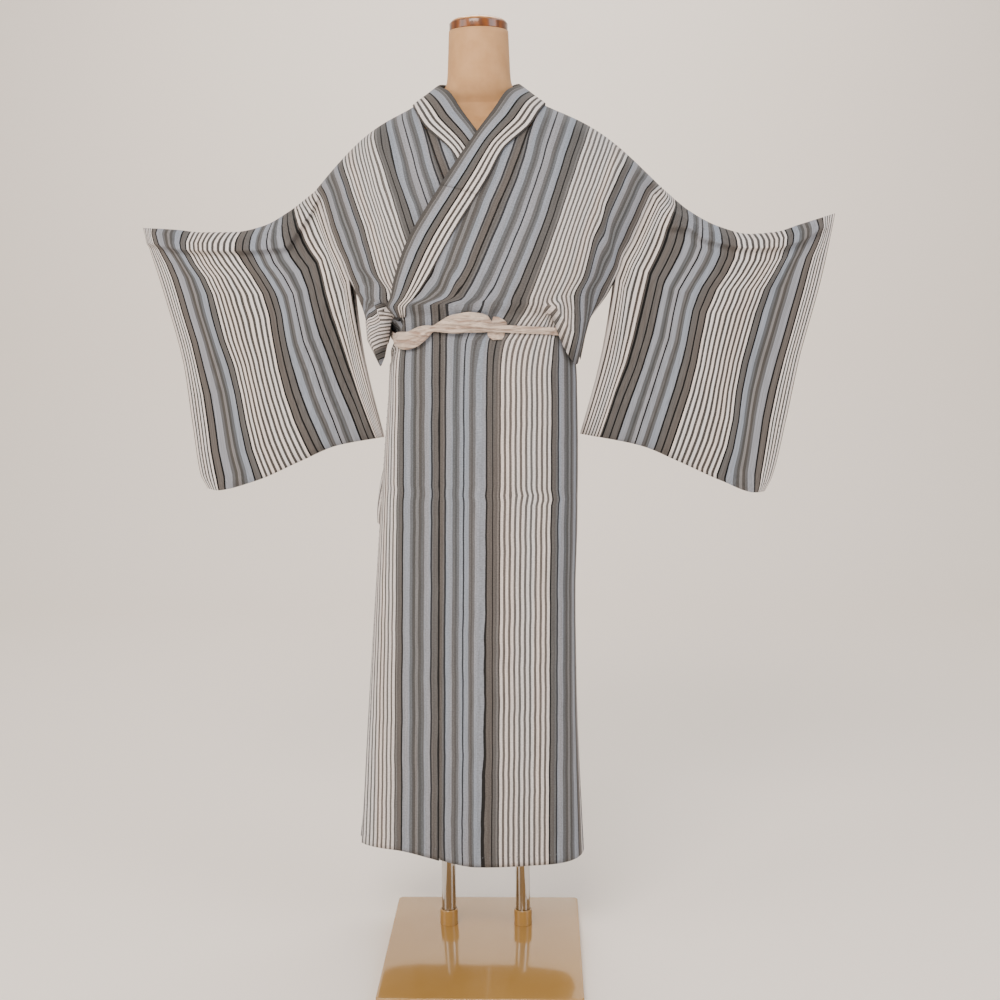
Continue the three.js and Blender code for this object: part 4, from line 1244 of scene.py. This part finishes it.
# %% Creases of a sleeve and the places of its threads
SLEEVE_FOLDS = table(
    "a0 b0 a1 b1 width depth",
    (0.99, 0.03, 0.80, 0.42, 0.035, 3.4),
    (0.98, 0.03, 0.62, 0.55, 0.045, -3.0),
    (0.96, 0.05, 0.40, 0.50, 0.05, 2.8),
    (0.06, 0.13, 0.30, 0.42, 0.04, 3.0),
    (0.03, 0.30, 0.26, 0.52, 0.035, -2.6),
    (0.88, 0.40, 0.86, 0.98, 0.05, 2.6),
    (0.55, 0.55, 0.66, 0.97, 0.06, -2.4),
    (0.30, 0.50, 0.42, 0.97, 0.06, 2.4),
    (0.10, 0.62, 0.20, 0.97, 0.05, -2.2),
)


# the threads that were charted, in millimetres from the edge that is sewn to the body
THREADS = (40, 100, 163, 252, 320)
SLEEVE_STRIPES = {
    "right": table(
        "z x40 x100 x163 x252 x320",
        (1320, 335, 372, 425, 512, 581),
        (1300, 326, 374, 428, 515, 581),
        (1280, 318, 376, 430, 520, 582),
        (1262, 311, 376, 433, 523, 574),
        (1245, 302, 373, 432, 519, 565),
        (1225, 288, 365, 420, 508, 553),
        (1200, 281, 347, 403, 490, 542),
        (1170, 275, 331, 385, 477, 533),
        (1130, 265, 323, 373, 468, 523),
        (1085, 251, 314, 368, 457, 510),
        (1040, 238, 298, 362, 443, 501),
        (990, 222, 283, 351, 433, 489),
        (940, 204, 265, 335, 425, 482),
        (890, 186, 249, 314, 414, 476),
        (840, 169, 234, 292, 397, 466),
    ),
    "left": table(
        "z x40 x100 x163 x252 x320",
        (1320, 348, 400, 443, 528, 595),
        (1300, 339, 396, 447, 533, 597),
        (1280, 331, 392, 449, 539, 598),
        (1262, 326, 389, 451, 541, 594),
        (1245, 320, 389, 451, 537, 586),
        (1225, 311, 381, 447, 531, 576),
        (1200, 298, 367, 435, 517, 568),
        (1170, 291, 349, 415, 499, 560),
        (1130, 282, 340, 398, 485, 549),
        (1085, 272, 332, 389, 473, 537),
        (1040, 260, 318, 382, 462, 525),
        (990, 241, 303, 370, 453, 512),
        (940, 224, 287, 354, 448, 502),
        (890, 207, 272, 338, 437, 495),
        (840, 191, 257, 322, 419, 488),
    ),
}
# the foot of the crease under each sleeve's top
SLEEVE_CREASE = {
    "right": table(
        "x z", (286, 1336), (300, 1310), (322, 1280), (341, 1252), (434, 1247), (523, 1250), (593, 1263)
    ),
    "left": table(
        "x z", (334, 1281), (366, 1280), (393, 1261), (425, 1252), (462, 1244), (522, 1245), (568, 1257),
        (603, 1278),
    ),
}
LEDGE_DEPTH = 15.0
THREAD_ROOM = 0.03  # the least share of a sleeve between two charted threads


# %% Relief and loom places of a sleeve


def sleeve_relief(a, b, shallow):
    """How far the cloth of a sleeve stands out at each place."""
    out = np.zeros((len(a), len(b)))
    a, b = a[:, None], b[None, :]
    for fold in SLEEVE_FOLDS:
        t, off_a, off_b = near_line(a, b, fold.a0, fold.b0, fold.a1, fold.b1)
        distance = np.hypot(off_a, off_b * 1.4)
        taper = 0.4 + 0.6 * np.sin(pi * (0.1 + 0.8 * t))
        out += fold.depth * np.exp(-((distance / fold.width) ** 2)) * taper
    edge = smooth(a / 0.05) * smooth((1 - a) / 0.03) * smooth(b / 0.02) * smooth((1 - b) / 0.03)
    return out * shallow * edge


def crease_ledge(points, side):
    """The fold under a sleeve's top: it stands out at its foot and thins out upwards."""
    rows = SLEEVE_CREASE[side]
    x, z = np.abs(points[..., 0]), points[..., 2]
    foot = follow(rows, "x", "z", x)
    top = follow(SLEEVE_TOP, f"{side}_x", f"{side}_z", x)
    risen = np.clip((z - foot) / np.maximum(top - foot, 8), 0, 1)
    ledge = np.where(z > foot, 1 - risen, bump(z, foot, 5))
    reach = smooth((x - rows[0].x + 15) / 25) * smooth((rows[-1].x + 20 - x) / 25)
    return LEDGE_DEPTH * ledge * reach


def sleeve_places(points, side, along):
    """Loom places on a sleeve's half: charted threads fix where its black lines run."""
    places = []
    for line in np.abs(points).transpose(1, 0, 2):
        marks = [(0.0, 0.0)]
        for thread in THREADS:
            at = crossing(line, SLEEVE_STRIPES[side], f"x{thread}")
            if at is None:
                at = 1.0 if line[-1, 0] < getattr(SLEEVE_STRIPES[side][0], f"x{thread}") else 0.0
            room_left = THREAD_ROOM * (len(THREADS) + 1 - len(marks))
            marks.append((min(max(at, marks[-1][0] + THREAD_ROOM), 1 - room_left), thread))
        marks.append((1.0, LOOM_WIDTH))
        places.append(curve([at for at, _ in marks], [place for _, place in marks], along))
    return np.array(places).T


# %% Build the sleeves
along = np.linspace(0, 1, 81)
upper = np.linspace(0, ARMHOLE_SHARE, 61)
lower = mix(ARMHOLE_SHARE, 1.0, np.sin(np.linspace(0, pi / 2, 49)))[1:]
down = np.concatenate([upper, lower])
for side, outward in (("left", -1), ("right", 1)):
    front = sleeve_half(side, -1, along, down)
    back = sleeve_half(side, 1, along, down)
    places = sleeve_places(front, side, along)
    ledge = crease_ledge(front, side)
    front[..., 1] -= sleeve_relief(along, down, 1.0) + ledge
    back[..., 1] += sleeve_relief(along, down, 0.8) + ledge * 0.6
    grid = np.concatenate([front, back[:, -2:0:-1]], axis=1)
    u = np.concatenate([places, places[:, -2:0:-1]], axis=1)
    piece = wall(f"sleeve_cloth_{side}", grid, u, SHEET, outward, loop=True)
    sew(grid, outward, loop=True, row=-3)
    area = area_of(grid, loop=True)
    walls, rests = [f"sleeve_{side}"], ["form_torso"]
    as_cloth(piece, walls, sleeve_striped, (0.36, 1.04), area)

# %% [markdown]
# ## Collar and collar cover
# The collar is one long band, folded double, that runs from the tie up round the neck and down again. A
# shorter cover of the same cloth is sewn over its upper part, which takes the wear, and its end shows as a
# small seam on the chest.

# %% Build the collar
across = np.linspace(0, 1, 15)
BAND_LIFT = COLLAR_LIFT + COLLAR_WALL
COVER_LIFT = BAND_LIFT + COVER_GAP + CLOTH
for name, walls, last, ends, thick, lift, length in (
    ("collar_band", ["collar"], len(FRONT_ROWS) - 1, True, COLLAR_WALL, BAND_LIFT, 1.62),
    ("collar_cover_band", ["collar_cover"], COVER_LAST_ROW, False, 1.0, COVER_LIFT, 1.0),
):
    grid, u = spread(collar_rows(last, ends, across), 7.0)
    out, _ = fold_field(grid)
    soft_edge = 1.1 * (bump(across, 0, 0.05) + bump(across, 1, 0.05))
    grid = grid - normals_of(grid) * (out * 0.5 - soft_edge[None, :] * 0.6)[..., None]
    piece = wall(name, grid, u, thick, -1, raised=lift)
    area, rests = area_of(grid), ["body_panel_left"]
    as_cloth(piece, walls, collar_striped, (0.066, length), area)

# %% Sew the hems and cuffs
# Matt cotton thread in the cloth's own grey, which gives the eye a faint dotted line.
thread, _, _ = material("cotton_thread", Roughness=0.8, Base_Color=linear("#6a6e73"))
as_piece(stitches_piece(thread), [], thread)

# %% [markdown]
# ## The waist tie
# A soft crepe strip is wound round the waist and twisted once on itself. It puffs on both sides of the
# twist and lies flat at the side. Its wrinkles run along it and all meet at the twist.

# %% The tie's path and section
TIE_ROWS = table(
    "arc z height thick",
    (-320, 1104, 20, 3),
    (-230, 1098, 15, 2.2),
    (-174, 1094, 14, 2.4),
    (-156, 1087, 23, 5),
    (-126, 1086, 31, 13),
    (-104, 1091, 32, 14),
    (-86, 1100, 22, 11),
    (-76, 1106, 11, 7),
    (-66, 1109, 17, 9),
    (-42, 1115, 30, 13),
    (-14, 1117, 33, 14),
    (13, 1114, 27, 10),
    (27, 1107, 14, 5),
    (114, 1101, 12.5, 3),
    (160, 1098, 14, 2.2),
    (240, 1098, 15, 2.2),
    (330, 1104, 20, 3),
)
TIE_CLEAR = 2.4
TIE_TWIST_ARC = -76


def tie_grid(steps, sides):
    left, right = girth(WAIST_Z, -1.0)[0], girth(WAIST_Z, 1.0)[0]
    arcs = np.linspace(-left, right, steps + 1)[:-1]
    turns = np.linspace(0, 2 * pi, sides + 1)[:-1]
    height = follow(TIE_ROWS, "arc", "height", arcs)
    thick = follow(TIE_ROWS, "arc", "thick", arcs)
    z = follow(TIE_ROWS, "arc", "z", arcs)
    lines = []
    for k, arc in enumerate(arcs):
        puffed = smooth((thick[k] - 4) / 6)
        from_twist = (arc - TIE_TWIST_ARC) / 60
        fan = 5 * turns + 2.2 * np.sin(from_twist * 2 + turns)
        wrinkle = puffed * (0.13 * np.sin(fan) + 0.09 * np.sin(9 * turns + 3 * from_twist))
        out = TIE_CLEAR + thick[k] / 2 * (1 + np.cos(turns) * (1 + wrinkle))
        points = ring_point(np.full(sides, WAIST_Z), np.full(sides, arc), out)
        points[:, 2] = z[k] - height[k] / 2 * np.sin(turns) * (1 + wrinkle * 0.8)
        lines.append(points)
    return np.array(lines)


def closed_ring_piece(name, grid):
    """A solid through a ring of rings."""
    rows, cols = grid.shape[:2]
    uv = np.dstack(np.meshgrid(np.arange(cols) * 2.0, np.arange(rows) * 3.0)).reshape(-1, 2)
    return mesh_piece(name, grid.reshape(-1, 3), ring_faces(rows, cols, closed=True), uv)


# %% Crepe
# Crepe is woven of hard-twisted thread that shrinks into fine grain, so it is matt and softly pebbled.
def crepe_cloth():
    """Fine pebbled grain under long soft wrinkles, with painted shade in their hollows and painted light on
    their crests.
    """
    made, tree, shader = material(
        "silk_crepe", Roughness=0.75, Sheen_Weight=0.25, Sheen_Roughness=0.5, Specular_IOR_Level=0.3
    )
    place = object_place(tree)
    pebbled = bumped(tree, noise(tree, place, 900.0), 0.4, 0.0004)
    wrinkles = noise(tree, stretched(tree, place, 1.0, 1.0, 7.0), 26.0, Detail=3.0, Distortion=0.9)
    # the colour follows the wrinkles' height: painted shade in their hollows, painted light on their crests
    tone = toned(tree, wrinkles, "#a98e7d", "#d3bfae", 0.38, 0.52)
    surface(tree, shader, tone, bumped(tree, wrinkles, 1.0, 0.012, over=pebbled))
    return made


# %% Build the tie and its tail
crepe = crepe_cloth()
tie = closed_ring_piece("waist_tie", tie_grid(260, 40))
as_piece(tie, ["tie_band"], crepe)

TAIL_ROWS = table(
    "z start end", (1086, 24, 40), (1094, 14, 44), (1106, 16, 46), (1117, 22, 47), (1126, 25, 33)
)
TAIL_OUT, TAIL_WIDTH, TAIL_SHEET = 1.7, 30, 0.8
across = np.linspace(0, 1, 17)
lines = [ring_point(row.z, mix(row.start, row.end, across), TAIL_OUT) for row in TAIL_ROWS]
grid, u = spread([(points, TAIL_WIDTH * across) for points in lines], 2.0)
grid[..., 1] -= 1.2 * (1 + np.sin(u / 3.1 + grid[..., 2] / 9)) * smooth((1098 - grid[..., 2]) / 8)
tail = wall("waist_tie_tail", grid, u, TAIL_SHEET, -1)
area = area_of(grid)
as_cloth(tail, ["tie_end"], crepe, (0.03, 0.045), area)
print("tie:", len(tie.data.polygons), "faces")

# %% [markdown]
# ## The dress form
# A padded body without limbs, covered in beige jersey, under a turned and varnished neck cap. It stands on
# two chromed steel tubes that drop into enamelled sockets on a flat base. These are simple lathe and loft
# shapes.

# %% Form sections
FORM_SECTIONS = table(
    "z width front back power",
    (760, 118, 66, 70, 2.4),
    (770, 136, 80, 84, 2.5),
    (800, 148, 88, 93, 2.6),
    (900, 158, 94, 99, 2.6),
    (1000, 152, 92, 94, 2.5),
    (1106, 146, 92, 92, 2.5),
    (1215, 160, 106, 102, 2.4),
    (1330, 170, 104, 98, 2.3),
    (1410, 170, 90, 88, 2.2),
    (1445, 164, 74, 76, 2.2),
    (1466, 157, 58, 60, 2),
    (1478, 147, 41, 48, 1.9),
    (1490, 125, 34, 40, 1.9),
    (1503, 104, 33, 40, 1.9),
    (1518, 71, 42, 48, 2),
    (1545, 57, 54, 57, 2),
    (1580, 55, 55, 55, 2),
    (1632, 53, 53, 53, 2),
)


FORM_SIDES = 96


def capped_faces(rows, cols):
    """Faces between rings of points, closed by a flat face at both ends."""
    bottom, top = list(range(cols))[::-1], list(range((rows - 1) * cols, rows * cols))
    return ring_faces(rows, cols) + [bottom, top]


def form_mesh():
    levels = [row.z for row in FORM_SECTIONS]
    heights = np.unique(np.concatenate([levels, np.linspace(levels[0], levels[-1], 110)]))
    turns = np.linspace(0, 2 * pi, FORM_SIDES + 1)[:-1]
    c, s = np.cos(turns), np.sin(turns)
    lines = []
    for z in heights:
        names = ("width", "front", "back", "power")
        width, front, back, power = (float(follow(FORM_SECTIONS, "z", name, z)) for name in names)
        x = width * np.sign(c) * np.abs(c) ** (2 / power)
        y = np.where(s < 0, front, back) * np.sign(s) * np.abs(s) ** (2 / power)
        lines.append(np.column_stack([x, y, np.full(FORM_SIDES, z)]))
    return mesh_piece("dress_form", np.vstack(lines), capped_faces(len(lines), FORM_SIDES))


# %% Jersey over the form
def jersey():
    """Fine upright ribs and a slight mottle."""
    made, tree, shader = material(
        "cotton_jersey", Roughness=0.8, Sheen_Weight=0.08, Sheen_Roughness=0.4, Specular_IOR_Level=0.3
    )
    place = object_place(tree)
    ribbed = bumped(tree, waves(tree, place, 160.0, 1.0), 0.12, 0.0004)
    surface(tree, shader, toned(tree, noise(tree, place, 45.0), "#b2865a", "#cb9f72"), ribbed)
    return made


as_piece(form_mesh(), ["form_torso"], jersey())
print("dress form built")

# %% Turned parts: cap, tubes and sockets


SHARP = radians(50)


def turned(name, profile, x=0.0, sides=72):
    """A solid of revolution about the vertical through x, from (radius, height) pairs."""
    turns = np.linspace(0, 2 * pi, sides + 1)[:-1]
    rings = [np.column_stack([r * np.cos(turns), r * np.sin(turns), np.full(sides, z)]) for r, z in profile]
    piece = mesh_piece(name, np.vstack(rings) + [x, 0, 0], ring_faces(len(profile), sides))
    work = bmesh.new()
    work.from_mesh(piece.data)
    bmesh.ops.remove_doubles(work, verts=work.verts, dist=1e-6)
    bmesh.ops.recalc_face_normals(work, faces=work.faces)
    work.to_mesh(piece.data)
    work.free()
    piece.data.set_sharp_from_angle(angle=SHARP)
    return piece


def rounded_rim(radius, z, edge, rising):
    """Points round a small rounded edge."""
    turns = np.linspace(0, pi / 2, 7)
    if rising:
        return [(radius - edge + edge * sin(t), z + edge - edge * cos(t)) for t in turns]
    return [(radius - edge + edge * cos(t), z - edge + edge * sin(t)) for t in turns]


CAP = namedtuple("Cap", "bottom radius band dome")(1632.3, 52.0, 14.0, 13.0)
POLE_APART, POLE_RADIUS = 136.0, 13.0
POLE_BOTTOM, POLE_TOP = 12.3, 759.7
SOCKET = namedtuple("Socket", "low high outer bore")(12.3, 40.3, 16.5, 13.3)
PLATE = namedtuple("Plate", "width depth middle corner")(343.0, 405.0, -86.0, 8.0)
PLATE_EDGE = table(
    "inset z", (2.0, 0.0), (0.5, 0.5), (0.0, 2.0), (0.0, 10.0), (0.3, 11.0), (0.9, 11.7), (2.0, 12.0)
)


def cap_profile():
    top = CAP.bottom + CAP.band
    crown = [((CAP.radius - 1.5) * cos(t), top + CAP.dome * sin(t)) for t in np.linspace(0.08, pi / 2, 22)]
    crown[-1] = (0.0, top + CAP.dome)
    rims = rounded_rim(CAP.radius, CAP.bottom, 1.5, True) + rounded_rim(CAP.radius, top, 1.2, False)
    return [(0.0, CAP.bottom)] + rims + crown


# %% Varnished wood, chrome and enamel


def turned_wood():
    """Varnish over beech with wavy grain: darker in the band and paler on the crown above it."""
    made, tree, shader = material("varnished_beech", Roughness=0.28, Coat_Weight=0.7, Coat_Roughness=0.12)
    place = object_place(tree)
    centre = node(tree, "ShaderNodeMapping", {"Vector": place}, None, Location=(0.05, 0.02, 0.0))
    grain = waves(tree, centre.outputs[0], 22.0, 6.0)
    height = node(tree, "ShaderNodeSeparateXYZ", {0: place}).outputs[2]
    above_band = ranged(tree, height, (1.6468, 1.6492))
    dark, pale = toned(tree, grain, "#5a2e05", "#7d4309"), toned(tree, grain, "#cf9250", "#dca366")
    surface(tree, shader, mixed(tree, {"Factor": above_band, "A": dark, "B": pale}))
    return made


def chromed():
    """Hexavalent chrome on steel tube: a clear mirror with faint drawing lines along it."""
    made, tree, shader = material("chromed_steel", Metallic=1.0, Roughness=0.09)
    drawn = noise(tree, stretched(tree, object_place(tree), 1.0, 1.0, 0.02), 500.0)
    surface(tree, shader, toned(tree, drawn, "#a9a7a3", "#cfccc7"))
    return made


def enamel(name, low, high, roughness):
    """Stoved enamel on steel: smooth, glossy, with a trace of orange peel."""
    made, tree, shader = material(name, Roughness=roughness, Coat_Weight=0.5, Coat_Roughness=0.06)
    place = object_place(tree)
    tone = toned(tree, noise(tree, place, 7.0, Detail=3.0), low, high)
    peel = bumped(tree, noise(tree, place, 260.0), 0.04, 0.0003)
    surface(tree, shader, tone, peel)
    return made


# %% Build the stand
chrome = chromed()
cream = enamel("cream_enamel", "#99733a", "#aa844b", 0.14)
as_piece(turned("neck_cap", cap_profile()), ["form_cap"], turned_wood())
for side, sign in (("left", 1), ("right", -1)):
    x = sign * POLE_APART / 2
    rims = rounded_rim(POLE_RADIUS, POLE_BOTTOM, 0.6, True) + rounded_rim(POLE_RADIUS, POLE_TOP, 0.6, False)
    tube = [(0.0, POLE_BOTTOM)] + rims + [(0.0, POLE_TOP)]
    as_piece(turned(f"tube_{side}", tube, x), [f"pole_{side}"], chrome)
    low, high, outer, bore = SOCKET
    rim = [(outer, low), (outer, high - 2)] + rounded_rim(outer, high, 1.6, False)
    profile = [(bore, low)] + rim + [(bore + 0.6, high), (bore, high - 0.6), (bore, low)]
    as_piece(turned(f"ferrule_{side}", profile, x), [f"socket_{side}"], cream)


def plate_piece():
    """A flat plate with rounded corners and edges."""
    edge = []
    straight_x, straight_y = PLATE.width / 2 - PLATE.corner, PLATE.depth / 2 - PLATE.corner
    for quarter, (sx, sy) in enumerate(((1, 1), (-1, 1), (-1, -1), (1, -1))):
        for t in np.linspace(quarter * pi / 2, (quarter + 1) * pi / 2, 9):
            edge.append((sx * straight_x + PLATE.corner * cos(t), sy * straight_y + PLATE.corner * sin(t)))
    rings = []
    for row in PLATE_EDGE:
        wide, deep = 1 - 2 * row.inset / PLATE.width, 1 - 2 * row.inset / PLATE.depth
        rings += [(x * wide, y * deep + PLATE.middle, row.z) for x, y in edge]
    piece = mesh_piece("base", rings, capped_faces(len(PLATE_EDGE), len(edge)))
    piece.data.set_sharp_from_angle(angle=SHARP)
    return piece


as_piece(plate_piece(), ["base_plate"], cream)
print("stand built")

# %% [markdown]
# ## The room
# A pale floor and backdrop, one large soft light above the camera, a weak fill from each side, one light
# from behind and one that washes the backdrop.

# %% Floor, backdrop and lights


def sweep():
    """A floor that curves up into a backdrop, so that no line shows behind the part."""
    profile = [(-4.5, 0.0), (2.8, 0.0)]
    profile += [(2.8 + sin(t), 1.0 - cos(t)) for t in np.linspace(0.1, pi / 2, 12)]
    profile += [(3.8, 5.5)]
    points = [(x * 1000, y * 1000, z * 1000) for x in (-6, 6) for y, z in profile]
    n = len(profile)
    faces = [[i, i + 1, n + i + 1, n + i][::-1] for i in range(n - 1)]
    piece = mesh_piece("studio_sweep", points, faces)
    paint, _, _ = material("painted_wall", Roughness=0.9, Base_Color=linear("#f7efe6"))
    piece.data.materials.append(paint)


def area_light(name, place, aim, size, power, colour):
    light = bpy.data.lights.new(name, "AREA")
    light.shape = "RECTANGLE"
    light.size, light.size_y = size
    light.energy = power
    light.color = linear(colour)[:3]
    lamp = bpy.data.objects.new(name, light)
    lamp.location = place
    lamp.rotation_euler = (Vector(aim) - Vector(place)).to_track_quat("-Z", "Y").to_euler()
    scene.collection.objects.link(lamp)


sweep()
for row in table(
    "name place aim size power colour",
    ("key", (-0.9, -3.2, 3.3), (0, 0, 0.9), (2.4, 1.6), 178, "#fff3e8"),
    ("fill_left", (-3.0, -1.6, 1.8), (0, 0, 0.9), (1.8, 2.2), 44, "#fff8f4"),
    ("fill_right", (3.0, -1.8, 1.9), (0, 0, 0.9), (1.8, 2.2), 48, "#f8f8ff"),
    ("back", (0.4, 1.4, 3.6), (0, 0, 1.0), (2.5, 1.0), 44, "#ffffff"),
    ("wall_wash", (0.0, 2.0, 3.2), (0, 3.8, 2.0), (3.2, 0.8), 46, "#fff8f0"),
):
    area_light(*row)
world = bpy.data.worlds.new("room")
scene.world = world
world.use_nodes = True
world.node_tree.nodes["Background"].inputs[0].default_value = linear("#dbd6d1")
world.node_tree.nodes["Background"].inputs[1].default_value = 0.7
